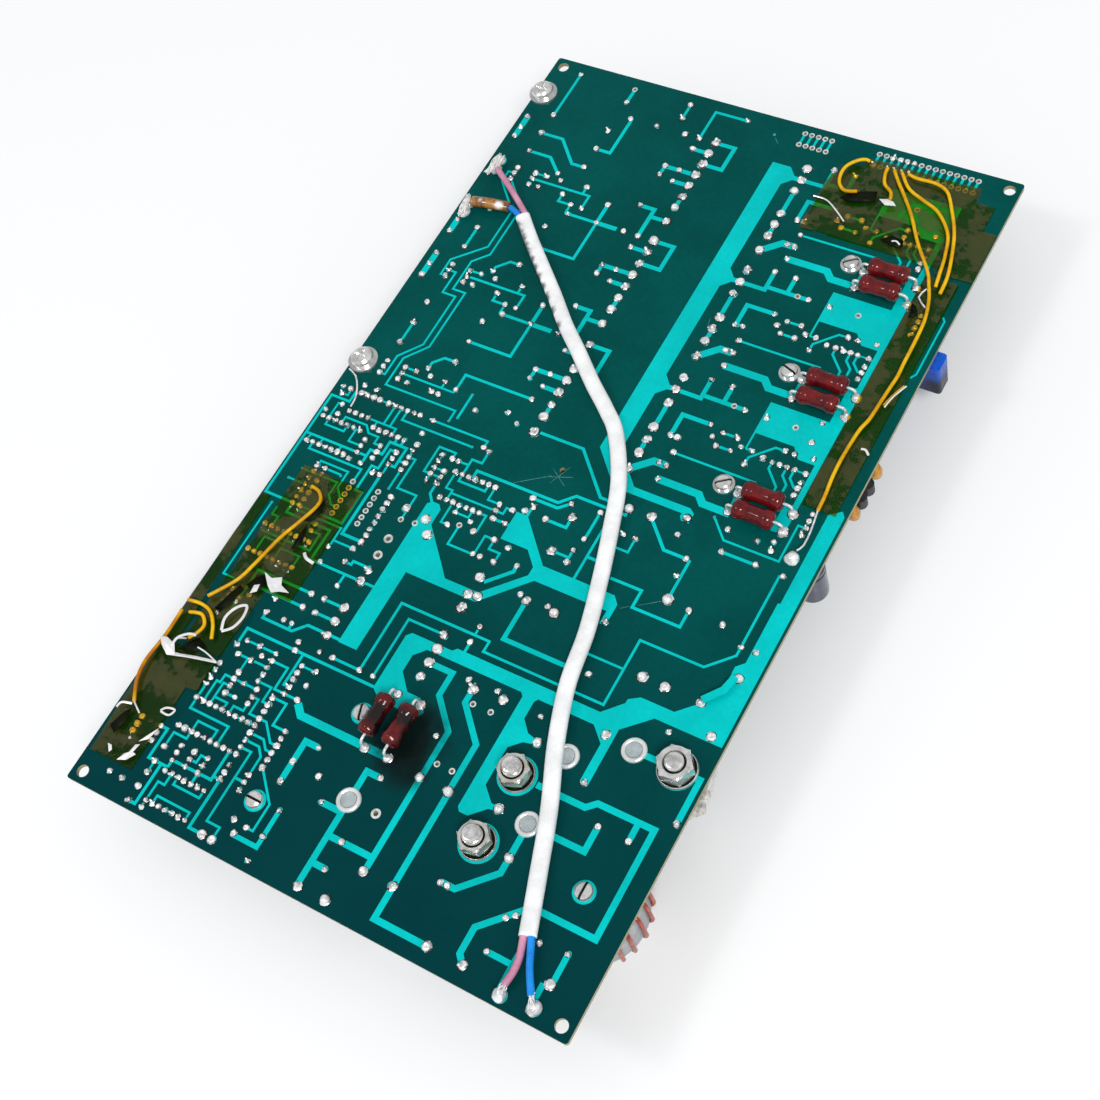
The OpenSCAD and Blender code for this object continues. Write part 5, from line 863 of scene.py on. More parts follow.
SLEEVE_ROUTE: list[Point] = [
    (-63.2, 83, 3.2), (-55.2, 75.2, 2.9), (-45.2, 66.2, 2.9), (-35, 57, 2.8), (-25.8, 48.2, 2.8),
    (-16, 40, 3.6), (-6, 31.4, 2.8), (3, 24.4, 1.9), (10.4, 17.4, 1.8), (19.8, 2.4, 2.3),
    (26, -13.6, 2.8), (31, -29.4, 2.1), (36, -47, 2.1), (39.6, -64.8, 2.9), (45.8, -82.6, 2.9),
    (53.8, -100.6, 2.4), (60.4, -118.2, 2.2), (66.8, -134.8, 3),
]
LINK_ROUTES: dict[str, tuple[str, list[Point]]] = {
    "pink_wire_start": ("pink", [
        (-82.9, 98.4, 3.2), (-79.4, 96, 3.6), (-74, 92.4, 3.6), (-68.4, 88.4, 3.4), (-62.8, 84.2, 3.2),
        (-61.2, 82.4, 3.2),
    ]),
    "pink_wire_end": ("pink", [
        (65.2, -133.4, 3), (65.9, -135.7, 3), (67.4, -140.4, 2.6), (67.9, -144.6, 2.5), (67.4, -149, 2.5),
    ]),
    "blue_wire_start": ("blue", [
        (-69.4, 84.8, 3.2), (-68, 84.4, 3.2), (-66.2, 83.6, 3.2), (-64.4, 82.5, 3.2), (-62.6, 80.6, 3.2),
    ]),
    "blue_wire_end": ("blue", [
        (67.4, -132.8, 3), (68.1, -134.9, 3), (69.9, -138.6, 2.8), (71.7, -142.2, 2.6), (74.4, -146.4, 2.5),
        (75.7, -148.2, 2.5),
    ]),
}
SPLICE_ROUTE: list[Point] = [(-84, 82.8, 3), (-79, 83.6, 3.2), (-74, 84.4, 3.2), (-70, 84.8, 3.2)]
YELLOW_ROUTES: list[list[Point]] = [
    [(39, 145.8, 0), (37.2, 146, 0), (35, 144.8, 0), (32.6, 141.8, 0), (32, 138.2, 0), (33.2, 134, 0),
     (36.2, 131.6, 0), (40.4, 132.6, 0)],
    [(45.8, 145, 0), (46.2, 142, 0), (47.8, 138.4, 0), (51, 136, 0), (52.2, 133, 0)],
    [(48.2, 145, 0), (51.6, 140.8, 0), (56.2, 135.6, 0), (61.6, 129, 0), (68, 119.6, 0), (75.4, 110.4, 0),
     (78.2, 105.2, 0), (80.6, 99.8, 0), (82.4, 92.8, 0), (83, 85, 0), (83.2, 75, 0), (83.4, 69.8, 0),
     (83, 64.8, 0), (82.6, 59.8, 0), (82, 52.2, 0), (80.8, 47, 0), (80.2, 37, 0), (80.4, 29.4, 0),
     (81.2, 22, 0), (81.4, 16.8, 0)],
    [(51, 145, 0), (56, 139.4, 0), (62.4, 136.4, 0), (69, 133.4, 0), (75.4, 126.4, 0), (78.2, 118, 0),
     (79.6, 110.4, 0.2), (80.4, 105.4, 0)],
    [(53.4, 145, 0), (56.8, 144.2, 0), (63.6, 144.2, 0), (68.6, 142, 0), (73.2, 135, 0), (77, 128, 0.4),
     (79.6, 121, 0.4), (82.2, 111, 0), (82.8, 103.4, 0)],
    [(-73.8, -38, 0), (-70.4, -38.8, 0), (-68, -41.4, 0), (-68.2, -45.2, 0), (-70.4, -51.6, 0),
     (-73, -59, 0), (-75.2, -69.2, 0), (-77.4, -76.8, 0), (-83.2, -85.6, 0)],
    [(-88.6, -89.4, 0), (-83.6, -88.8, 0), (-79.2, -89.8, 0), (-75.6, -93.2, 0), (-73, -97.6, 0)],
    [(-85.6, -92.8, 0), (-81.2, -91.8, 0), (-78.2, -94.4, 0), (-78.6, -97.6, 0), (-80.4, -100.4, 0)],
    [(-88.4, -93, 0), (-88.2, -98, 0), (-88.2, -104, 0), (-88.8, -109.6, 0), (-88.8, -114.2, 0),
     (-87.6, -119, 0), (-85.4, -123, 0), (-83.8, -125.6, 0)],
]


@dataclass
class LinkCable:
    """The pair of wires in its white sleeve, and the splice in the blue one."""

    sleeve_width: float = 5.2 * MM
    sleeve_height: float = 3.4 * MM
    wire: float = 2.2 * MM
    splice_width: float = 4.0 * MM
    steps: int = 12

    def build(self) -> list[bpy.types.Object]:
        line = smooth_route(SLEEVE_ROUTE, self.steps)
        points, faces = swept(line, self.sleeve_width, self.sleeve_height, 18, 0.8)
        sleeve = finished("white_link_sleeve", mesh_from("sleeve", points, faces), "sleeve", "link_sleeve")
        made = []
        for node, (key, route) in LINK_ROUTES.items():
            points, faces = swept(smooth_route(route, 8), self.wire, self.wire, 14)
            made.append(finished(f"{node}_lead", mesh_from(node, points, faces), key, node))
        points, faces = swept(smooth_route(SPLICE_ROUTE, 8), self.splice_width, self.sleeve_height, 18, 1.0, 0.1)
        made.append(finished("wrapped_splice", mesh_from("splice", points, faces), "splice", "taped_splice"))
        return [sleeve, *made]


@dataclass
class PatchWires:
    """The thin yellow wires that lie on the tape."""

    wire: float = 1.2 * MM
    lie: float = 2.07 * MM

    def build(self) -> bpy.types.Object:
        """Make all the yellow wires as one piece."""
        parts = []
        for route in YELLOW_ROUTES:
            line = [p + Vector((0, 0, self.lie)) for p in smooth_route(route, 6)]
            parts.append(swept(line, self.wire, self.wire, 10))
        made = finished("yellow_patch_wires", joined("yellow", parts), "yellow", "yellow_wires")
        return made


@dataclass
class AmberTape:
    """Clear amber tape, drawn down between the joints that it covers."""

    cell: float = 1.0 * MM
    rest: float = 1.32 * MM
    sag: float = 0.9 * MM

    def build(self) -> bpy.types.Object:
        """Cut the tape's patches into cells and drape them."""
        shape = bmesh.new()
        shape.from_mesh(bpy.data.objects["amber_tape"].data)
        bmesh.ops.remove_doubles(shape, verts=shape.verts, dist=1e-6)
        low = min(v.co.z for v in shape.verts)
        under = [f for f in shape.faces if max(v.co.z for v in f.verts) > low + 1e-6]
        bmesh.ops.delete(shape, geom=under, context="FACES")
        bmesh.ops.dissolve_limit(shape, angle_limit=0.01, verts=shape.verts, edges=shape.edges)
        corners = [v.co for v in shape.verts]
        for axis in (0, 1):
            start, stop = min(c[axis] for c in corners), max(c[axis] for c in corners)
            normal = Vector((1, 0, 0)) if axis == 0 else Vector((0, 1, 0))
            for k in range(1, int((stop - start) / self.cell)):
                at = normal * (start + k * self.cell)
                every = shape.verts[:] + shape.edges[:] + shape.faces[:]
                bmesh.ops.bisect_plane(shape, geom=every, plane_co=at, plane_no=normal, dist=1e-7)
        nodes = ("stage_joints", "control_joints", "driver_joints")
        feet = np.array([((a.x + b.x) / 2, (a.y + b.y) / 2) for n in nodes for a, b in solids_of(n)])
        for v in shape.verts:
            near = float(np.min(np.hypot(feet[:, 0] - v.co.x, feet[:, 1] - v.co.y)))
            drop = min(1.0, max(0.0, (near - 0.6 * MM) / (3 * MM)))
            wave = noise.noise(Vector((v.co.x * 90, v.co.y * 90, 0.3)))
            crease = abs(noise.noise(Vector((v.co.x * 45, v.co.y * 160, 2.0))))
            v.co.z = self.rest + 0.1 * MM - self.sag * drop * drop * (3 - 2 * drop)
            v.co.z += (0.16 * wave + 0.3 * (0.25 - crease) * drop) * MM
        mesh = bpy.data.meshes.new("tape")
        shape.to_mesh(mesh)
        shape.free()
        made = finished("amber_tape_film", mesh, "tape", "amber_tape")
        return made


def at(u: float, v: float, z: float = 0.0) -> Vector:
    """Return a place of the layout grid in metres, its height given in millimetres."""
    return Vector(((u - 35.5) * PITCH, (61 - v) * PITCH, z * MM))


def moved(
    part: tuple[list[Point], list[tuple[int, ...]]], place: Matrix
) -> tuple[list[Point], list[tuple[int, ...]]]:
    """Return a part's points and faces, with the points carried by a matrix."""
    points, faces = part
    return [tuple(place @ Vector(p)) for p in points], faces


def roughened(
    part: tuple[list[Point], list[tuple[int, ...]]], reach: float, scale: float
) -> tuple[list[Point], list[tuple[int, ...]]]:
    """Push a part's points about at random.

    Args:
        part: Its points and faces.
        reach: Farthest push in metres.
        scale: Waves to the metre.

    Returns:
        The part with its points pushed.
    """
    points, faces = part
    pushed = [Vector(p) + noise.noise_vector(Vector(p) * scale) * reach for p in points]
    return [tuple(p) for p in pushed], faces


@dataclass
class PowerResistors:
    """The eight glazed resistors, the two that ran hot with rougher glaze."""

    radius: float = 3.2 * MM
    length: float = 13.6 * MM
    height: float = 4.8
    sides: int = 28
    places: tuple[tuple[float, float, float], ...] = (
        (61.1, 20, 0), (61.1, 22.8, 0), (61.1, 37.9, 0), (61.1, 40.8, 0), (61.1, 55.6, 0), (61.1, 58.3, 0),
        (32.4, 99.4, 90), (35.7, 99.4, 90),
    )

    def profile(self) -> list[tuple[float, float]]:
        """Return the radius along half a body and back, with swollen ends."""
        shares = (
            (0.02, 0), (0.45, 0), (0.74, 0.02), (0.9, 0.06), (0.98, 0.12), (1, 0.17), (0.97, 0.22),
            (0.9, 0.26), (0.85, 0.3), (0.83, 0.36), (0.83, 0.43),
        )
        half = [(r * self.radius, (z - 0.5) * self.length) for r, z in shares]
        return half + [(0.83 * self.radius, 0.0)] + [(r, -z) for r, z in reversed(half)]

    def build(self) -> bpy.types.Object:
        """Make the bodies as one piece."""
        parts = []
        for u, v, turn in self.places:
            hot = turn > 0
            place = Matrix.Translation(at(u, v, self.height))
            place = place @ Matrix.Rotation(math.radians(turn), 4, "Z") @ Matrix.Rotation(math.pi / 2, 4, "Y")
            body = moved(lathe(self.profile(), self.sides), place)
            parts.append(roughened(body, (0.32 if hot else 0.1) * MM, 600 if hot else 260))
        made = finished("glazed_resistors", joined("resistors", parts), "resistor", "power_resistors")
        return made


@dataclass
class ChokeWinding:
    """The choke's turns of round wire, as CAD has them, slightly uneven."""

    wire: float = 1.3 * MM
    turns: int = 22
    place: tuple[float, float] = (64.6, 106.9)
    middle: float = -1.6 - 2.4 - 6.5
    inner: float = 8.0 - 0.1 - 0.7
    outer: float = 16.0 + 0.1 + 0.7
    half_height: float = 6.5 + 0.1 + 0.7
    corner: float = 1.9

    def ring(self) -> list[tuple[float, float]]:
        """Return one turn's centre line as distances from the axis and heights."""
        found = []
        for cx, cz, start in (
            (self.outer - self.corner, self.half_height - self.corner, 0),
            (self.inner + self.corner, self.half_height - self.corner, 90),
            (self.inner + self.corner, -self.half_height + self.corner, 180),
            (self.outer - self.corner, -self.half_height + self.corner, 270),
        ):
            for step in range(4):
                a = math.radians(start + 30 * step)
                found.append((cx + self.corner * math.cos(a), cz + self.corner * math.sin(a)))
        return found

    def build(self) -> bpy.types.Object:
        """Make all the turns as one piece."""
        chance = random.Random(5)
        centre = at(*self.place, self.middle)
        points: list[Point] = []
        faces: list[tuple[int, ...]] = []
        sides = 10
        for k in range(self.turns):
            first = len(points)
            turn = Matrix.Rotation(2 * math.pi * k / self.turns + chance.uniform(-0.03, 0.03), 4, "Z")
            ring = self.ring()
            for i, (r, z) in enumerate(ring):
                before, after = ring[i - 1], ring[(i + 1) % len(ring)]
                along = Vector((after[0] - before[0], 0, after[1] - before[1])).normalized()
                out = along.cross(Vector((0, 1, 0)))
                lean = 0.35 * math.sin(2 * math.pi * i / len(ring))
                for m in range(sides):
                    a = 2 * math.pi * m / sides
                    q = Vector((r, lean, z)) * MM
                    q += (Vector((0, 1, 0)) * math.cos(a) + out * math.sin(a)) * self.wire / 2
                    points.append(tuple(centre + (turn @ q)))
            for i in range(len(ring)):
                j = (i + 1) % len(ring)
                for m in range(sides):
                    n = (m + 1) % sides
                    faces.append(tuple(first + q for q in (
                        i * sides + m, i * sides + n, j * sides + n, j * sides + m
                    )))
        made = finished("round_choke_turns", mesh_from("turns", points, faces), "wire", "choke_winding")
        return made


@dataclass
class StudFastening:
    """The rectifiers below the board, with their studs, nuts and washers above it."""

    flats: float = 10.0 * MM
    height: float = 5.0 * MM
    stud: float = 3.0 * MM
    washer: float = 6.2 * MM
    seat: float = 0.12 * MM
    washer_t: float = 1.2 * MM
    proud: float = 3.0 * MM
    board: float = 1.6 * MM
    base_flats: float = 19.0 * MM
    base_h: float = 6.0 * MM
    cap: float = 6.5 * MM
    cap_h: float = 16.0 * MM
    sides: int = 48
    lesser: float = 0.9
    places: tuple[tuple[float, float, float, float, float], ...] = (
        (67.35, 90.1, 6, 0.4, -19.8), (50.9, 98.4, 21, 1, 0), (50.9, 107.2, 12, 1, 0),
    )

    def hexagon(
        self, flats: float, levels: list[tuple[float, float]], turn: float
    ) -> tuple[list[Point], list[tuple[int, ...]]]:
        """Make a hexagon whose corners are cut off where a level's radius is small.

        Args:
            flats: Width across its flats.
            levels: For each level its greatest radius and its height.
            turn: Turn in degrees.

        Returns:
            The points and faces of the closed prism.
        """
        points, faces = lathe(levels, self.sides)
        cut = []
        for x, y, z in points:
            r, a = math.hypot(x, y), math.atan2(y, x)
            off = (math.degrees(a) % 60) - 30
            r = min(r, flats / 2 / math.cos(math.radians(off)))
            a += math.radians(turn)
            cut.append((r * math.cos(a), r * math.sin(a), z))
        return cut, faces

    def thread(self, top: float) -> list[tuple[float, float]]:
        """Return the profile of a stud with its thread, up to a height."""
        bottom, step = self.seat, 0.5 * MM
        count = int((top - bottom - 0.8 * MM) / step)
        ridges = [(self.stud * (1.0 if k % 2 else 0.92), bottom + k * step) for k in range(count)]
        return [(0.1 * self.stud, -self.board), (self.stud, -self.board), *ridges, (self.stud * 0.96, top - 0.6 * MM),
                (self.stud * 0.82, top - 0.1 * MM), (self.stud * 0.7, top), (0.02 * self.stud, top)]

    def build(self) -> list[bpy.types.Object]:
        """Make the nuts, the washers, the rectifiers and the rings of painted shade round the studs and under the
        nuts.
        """
        nuts, washers, bodies, painted_shade_rings = [], [], [], []
        start = self.seat + self.washer_t
        for u, v, turn, share, base_turn in self.places:
            place = Matrix.Translation(at(u, v))
            flats, ring = (size * (self.lesser if share == 1 else 1.0) for size in (self.flats, self.washer))
            wide = flats * 0.6
            foot = start if share < 1 else start + 1.2 * MM
            top = start + self.height
            levels = [
                (self.stud, foot), (flats * 0.51, foot), (wide, foot + 0.35 * MM), (wide, top - 0.5 * MM),
                (flats * 0.5, top), (self.stud * 1.2, top), (self.stud * 1.04, top - 0.9 * MM),
            ]
            nuts.append(moved(self.hexagon(flats, levels, turn), place))
            # Painted shade: dark rings round each stud at the nut's top and round the nut's foot.
            for near, far, z in ((self.stud, self.stud * 1.1, top - 0.4 * MM), (self.stud, flats * 0.58, start)):
                rings = [(near, z - 0.1 * MM), (far, z - 0.1 * MM), (far, z + 0.05 * MM), (near, z + 0.05 * MM)]
                painted_shade_rings.append(moved(lathe(rings, self.sides), place))
            washers.append(moved(lathe([
                (self.stud, self.seat), (ring * 0.98, self.seat), (ring, self.seat + 0.3 * MM),
                (ring, start - 0.3 * MM), (ring * 0.97, start), (self.stud, start),
            ], self.sides), place))
            if share == 1:
                washers.append(moved(lathe([
                    (self.stud, start), (flats * 0.47, start + 0.05 * MM), (flats * 0.47, foot - 0.1 * MM),
                    (self.stud, foot),
                ], self.sides), place))
            bodies.append(moved(lathe(self.thread(top + self.proud * share), self.sides), place))
            low = -self.board - self.base_h
            base = self.base_flats
            levels = [(0.1 * base, low), (base * 0.5, low), (base * 0.6, low + 0.8 * MM), (base * 0.6, -self.board),
                      (0.1 * base, -self.board)]
            bodies.append(moved(self.hexagon(base, levels, base_turn), place))
            shares = ((0.03, 1), (0.24, 1), (0.3, 0.97), (0.3, 0.57), (0.42, 0.52), (0.72, 0.48), (0.93, 0.38),
                      (1, 0.33), (1, 0), (0.1, 0))
            profile = [(r * self.cap, low - z * self.cap_h) for r, z in shares]
            bodies.append(moved(lathe(profile, self.sides), place))
        made = [
            finished("chamfered_nuts", joined("nuts", nuts), "screw", "hex_nuts", smooth=False),
            finished("flat_washers", joined("washers", washers), "washer", "nut_washers", smooth=False),
            finished("rectifier_bodies", joined("rectifiers", bodies), "steel", "stud_rectifiers", smooth=False),
            finished("nut_grime", joined("painted_shade_rings", painted_shade_rings), "painted_shade", smooth=False),
        ]
        return made


@dataclass
class DiscFaces:
    """The duller sunk faces of the tinned stud discs, each with a dark edge of painted shade round it."""

    radius: float = 2.42 * MM
    line: float = 0.2 * MM
    floor: float = 0.6 * MM
    top: float = 0.7 * MM
    places: tuple[tuple[float, float], ...] = ((61.75, 90.1), (55, 94), (55, 102.9), (34.25, 109.4))

    def build(self) -> list[bpy.types.Object]:
        """Make the faces and the edges of painted shade round them."""
        faces, painted_shade_edges = [], []
        for u, v in self.places:
            place = Matrix.Translation(at(u, v))
            # The second, wider and lower disc shows as a dark edge of painted shade round the face.
            for parts, radius, top in (
                (faces, self.radius, self.top), (painted_shade_edges, self.radius + self.line, self.top - 0.04 * MM),
            ):
                rings = [(0.02 * MM, self.floor), (radius, self.floor), (radius, top), (0.02 * MM, top)]
                parts.append(moved(lathe(rings, 32), place))
        return [
            finished("disc_faces", joined("discs", faces), "disc_face", smooth=False),
            finished("disc_lines", joined("painted_shade_edges", painted_shade_edges), "painted_shade", smooth=False),
        ]


@dataclass
class ScrewSlots:
    """Dark strips of painted shade on the floors of the slotted screws' slots."""

    length: float = 5.2
    width: float = 0.74
    floor: float = 0.12 + 2.0 - 0.9
    places: tuple[tuple[float, float, float, float], ...] = (
        (55.5, 19.5, 0.5, 36), (55.5, 37.5, 0.5, -18), (55.25, 55.1, 0.5, 36), (29.7, 99.6, 0, -72),
        (23.8, 114.3, 0, 0), (64.6, 106.9, 0, 90),
    )

    def build(self) -> bpy.types.Object:
        """Make the six lines as one piece."""
        parts = []
        for u, v, lift, turn in self.places:
            a, b = self.length / 2, self.width / 2
            low, high = self.floor + lift, self.floor + lift + 0.3
            outline = [(-a, -b), (a, -b), (a + 0.1, 0), (a, b), (-a, b), (-a - 0.1, 0)]
            points = [(x * MM, y * MM, z * MM) for z in (low, high) for x, y in outline]
            faces = [tuple(range(5, -1, -1)), tuple(range(6, 12))]
            faces += [(i, (i + 1) % 6, 6 + (i + 1) % 6, 6 + i) for i in range(6)]
            place = Matrix.Translation(at(u, v)) @ Matrix.Rotation(math.radians(turn), 4, "Z")
            parts.append(moved((points, faces), place))
        # The strips are painted shade in the slots.
        return finished("screw_slot_dirt", joined("slots", parts), "painted_shade", smooth=False)


@dataclass
class FrayedEnds:
    """The heaps of solder at the link's ends, with the strands that stand out of them."""

    radius: float = 2.2 * MM
    height: float = 2.6 * MM
    strand: float = 0.16 * MM
    sides: int = 16
    places: tuple[tuple[float, float], ...] = (
        (61.9, 120.75), (65.95, 120.3), (67.4, 61.1), (1.7, 20), (1.9, 21.6), (1.4, 28.3), (1.5, 29.8),
    )
    tufts: tuple[tuple[Point, Point, int], ...] = (
        ((-86, 96, 3), (-84.4, 103.4, 3.4), 44), ((-86.8, 84.4, 2.8), (-85.2, 76.8, 2.6), 44),
        ((67.4, -148.6, 2.5), (67.0, -151.4, 2.0), 10), ((75.6, -147.8, 2.5), (77.2, -150.4, 2.2), 12),
    )

    def build(self) -> list[bpy.types.Object]:
        """Make the heaps and the strands."""
        shares = ((0.05, 0), (1, 0), (1.02, 0.12), (0.95, 0.34), (0.82, 0.56), (0.6, 0.76), (0.34, 0.9), (0.05, 0.95))
        heaps = []
        for u, v in self.places:
            profile = [(r * self.radius, 0.12 * MM + z * self.height) for r, z in shares]
            blob = moved(lathe(profile, self.sides), Matrix.Translation(at(u, v)))
            lumpy = roughened(blob, 0.55 * MM, 520)
            heaps.append(([(x, y, max(z, 0.05 * MM)) for x, y, z in lumpy[0]], lumpy[1]))
        chance = random.Random(11)
        strands = []
        for start, end, count in self.tufts:
            for _ in range(count):
                a = Vector(start) + Vector([chance.uniform(-0.8, 0.8) for _ in range(3)])
                b = Vector(end) + Vector([chance.uniform(-1.3, 1.3), chance.uniform(-1.3, 1.3), chance.uniform(-1, 0.9)])
                c = (a + b) / 2 + Vector([chance.uniform(-0.9, 0.9) for _ in range(3)])
                line = smooth_route([tuple(a), tuple(c), tuple(b)], 3)
                strands.append(swept(line, 2 * self.strand, 2 * self.strand, 5))
        made = [
            finished("solder_heaps", joined("heaps", heaps), "solder", "wire_heaps"),
            finished("frayed_strands", joined("strands", strands), "strand"),
        ]
        return made


@dataclass
class LooseMetal:
    """Scraps of foil and solder left on the tape, part of them painted glints, dark flakes of painted shade in the
    tape's creases, and scratches in the lacquer.
    """

    # Part of these strips and shards are scraps of foil and solder; the rest are painted glints, bright flakes where
    # the tape's wrinkles shine.
    strips: tuple[tuple[float, float, list[Point]], ...] = (
        (1.0, 0.25, [(7.2, 97.9, 1.9), (6.7, 96.3, 2.2), (7.3, 94.6, 2.4), (8.4, 93.8, 2.2), (8.9, 95.3, 2.4),
                     (8.4, 97, 2.1), (7.3, 98, 1.9)]),
        (0.6, 0.35, [(3, 103.4, 2.3), (6, 102.6, 2.5), (9.3, 101.8, 2.0)]),
        (0.5, 0.35, [(9.3, 101.8, 2.2), (7.4, 101.3, 2.6), (5.8, 101.1, 2.1)]),
        (0.9, 0.35, [(2.6, 102.4, 2.6), (2.8, 101.2, 3.2), (3.9, 100.2, 3.3), (4.8, 99.9, 2.8)]),
        (0.8, 0.25, [(0.8, 112, 1.9), (1.1, 111.2, 2.1), (2.4, 110.8, 1.9)]),
        (0.7, 0.25, [(6.4, 110, 1.9), (7, 109.4, 2.2), (8.1, 109.2, 2), (7.8, 110.1, 2.2), (6.5, 110.1, 2)]),
        (1.1, 0.25, [(11, 84.5, 1.8), (11.8, 85.1, 2.3), (13, 85.3, 1.9)]),
        (0.6, 0.2, [(59, 14.7, 1.8), (59.6, 14.6, 2.1), (60.2, 14.9, 1.8)]),
        (0.5, 0.35, [(68.7, 38.2, 1.8), (69.1, 36.5, 2.1), (69.9, 34.4, 1.8)]),
        (0.8, 0.2, [(68.6, 44.6, 1.7), (69.2, 44.6, 2), (69.8, 45.1, 1.7)]),
        (0.5, 0.3, [(46.2, 11.2, 1.5), (48.2, 11.4, 1.8), (50.2, 12.6, 1.7), (51.8, 13.8, 1.6)]),
    )
    shards: tuple[tuple[float, float, list[tuple[float, float]]], ...] = (
        (2.3, 0.5, [(7.8, 88.9), (9.3, 89.3), (10.4, 88.6), (11, 89.6), (12.5, 90.1), (11.2, 90.5), (10.3, 91),
                    (9.4, 90.4)]),
        (2.1, 0.3, [(7.7, 92.2), (7.6, 91), (8.2, 90.6), (8.4, 91.6)]),
        (2.3, 0.6, [(0.4, 101.9), (1.3, 101.6), (2.8, 102), (3.7, 103.2), (2.6, 103.6), (1.3, 102.8)]),
        (2.0, 0.5, [(5.2, 117.6), (5.5, 116.5), (6, 116.2), (6.2, 115), (6.7, 114.7), (6.5, 115.9), (7, 116),
                    (6.3, 117.1)]),
        (2.0, 0.2, [(2.8, 116.3), (3.4, 116.3), (3.8, 116.8), (3.6, 117.2)]),
        (2.0, 0.3, [(6.3, 114.5), (6.9, 113.4), (7.7, 112), (7.3, 113.7)]),
        (2.2, 0.3, [(54.7, 9.1), (55.7, 8.7), (56.6, 8.9), (57.2, 9.4), (55.8, 9.8)]),
    )
    # Painted shade: dark flakes laid in the tape's creases.
    painted_crease_shades: tuple[list[tuple[float, float]], ...] = (
        [(6.4, 91.3), (7.1, 89.9), (8, 89.1), (8.8, 90.3), (8.3, 92)],
        [(4.4, 95.7), (5, 93.7), (5.7, 91.6), (6.5, 92), (5.9, 94.6), (5.4, 95.9)],
        [(3.4, 102.3), (4.2, 100.7), (5.1, 99.9), (6.6, 100.6), (5.4, 102)],
        [(8, 80.6), (8.9, 78), (9.2, 76.6), (9.8, 78.7), (9.1, 80.5)],
        [(9, 84.8), (8.8, 82.8), (9, 81), (9.8, 83.1), (9.6, 84.4)],
        [(1.4, 114.2), (1.9, 112.4), (2.6, 111.3), (3, 112.9), (2.5, 114.9)],
        [(49.6, 10.4), (50.7, 9), (52.3, 8.3), (53.9, 7.8), (54.2, 9.5), (52.6, 10), (51, 10.6)],
        [(57.4, 14.9), (58.6, 13.8), (60.4, 14.1), (60.6, 15.3), (59.2, 15.4)],
        [(65.4, 22.7), (66.1, 23), (66.8, 24.2), (65.9, 25)],
    )
    scratches: tuple[tuple[tuple[float, float], tuple[float, float]], ...] = (
        ((60.3, 86), (61.5, 86)), ((51.5, 75), (52.4, 74.3)), ((53.3, 73.8), (55.6, 72.2)),
        ((69.3, 62), (70.6, 62)), ((70.1, 54.5), (70.6, 54.5)), ((34.2, 61.2), (36.8, 62.9)),
        ((34.0, 62.6), (37.2, 61.4)), ((30.5, 65), (34.6, 62.2)), ((36.2, 60.2), (34.9, 63.2)),
        ((28.6, 50.2), (29.0, 51.6)), ((42.2, 33.6), (42.5, 35)), ((36.6, 3.4), (37.4, 4.2)),
    )

    def shard(
        self, corners: list[tuple[float, float]], z: float, bend: float
    ) -> tuple[list[Point], list[tuple[int, ...]]]:
        """Make a thin flake with its middle pushed up.

        Args:
            corners: Its outline on the layout grid.
            z: Height of its edge in millimetres.
            bend: Rise of its middle in millimetres.

        Returns:
            The points and faces of the closed flake.
        """
        count, thick = len(corners), 0.12
        mid = tuple(sum(c[k] for c in corners) / count for k in (0, 1))
        rise = [z + bend * noise.noise(Vector((u, v, z))) for u, v in corners]
        points = [tuple(at(u, v, h + thick)) for (u, v), h in zip(corners, rise)]
        points += [tuple(at(u, v, h)) for (u, v), h in zip(corners, rise)]
        points += [tuple(at(*mid, z + bend + thick)), tuple(at(*mid, z + bend))]
        faces: list[tuple[int, ...]] = []
        for i in range(count):
            j = (i + 1) % count
            faces += [(i, j, 2 * count), (count + j, count + i, 2 * count + 1), (i, count + i, count + j, j)]
        return points, faces

    def build(self) -> list[bpy.types.Object]:
        """Make the scraps and painted glints, the painted shade in the creases and the scratches."""
        strips = [self.shard(corners, z, bend) for z, bend, corners in self.shards]
        for width, height, route in self.strips:
            line = smooth_route([tuple(at(u, v, z) / MM) for u, v, z in route], 4)
            strips.append(swept(line, width * MM, height * MM, 8, 0.7, 0.5))
        marks = []
        for a, b in self.scratches:
            ends = [at(*a, 0.01), at(*b, 0.01)]
            line = [ends[0].lerp(ends[1], k / 4) for k in range(5)]
            marks.append(swept(line, 0.16 * MM, 0.06 * MM, 4))
        return [
            finished("foil_scraps", joined("scraps", strips), "foil_and_painted_glint", smooth=False),
            finished("tape_folds", joined("painted_crease_shades", [self.shard(f, 1.5, 0.1) for f in self.painted_crease_shades]), "painted_shade"),
            finished("lacquer_scratches", joined("marks", marks), "scratch"),
        ]


@dataclass
class EdgeCompound:
    """The crumbled white compound that shows past the edge, about a rectifier's base."""

    sides: int = 20
    lumps: tuple[tuple[float, float, float, float], ...] = (
        (70.3, 91.3, -3.8, 3.4), (70.9, 92.6, -4.6, 2.4), (69.9, 93.6, -4.0, 2.6),
    )

    def build(self) -> bpy.types.Object:
        """Make the lumps as one piece."""
        shares = ((0.05, -1), (0.5, -0.86), (0.86, -0.5), (1, 0), (0.86, 0.42), (0.6, 0.55), (0.05, 0.6))
        parts = []
        for u, v, z, r in self.lumps:
            ball = moved(lathe([(a * r * MM, b * r * MM) for a, b in shares], self.sides), Matrix.Translation(at(u, v, z)))
            parts.append(roughened(ball, 1.0 * MM, 420))
        return finished("edge_compound", joined("lumps", parts), "compound")


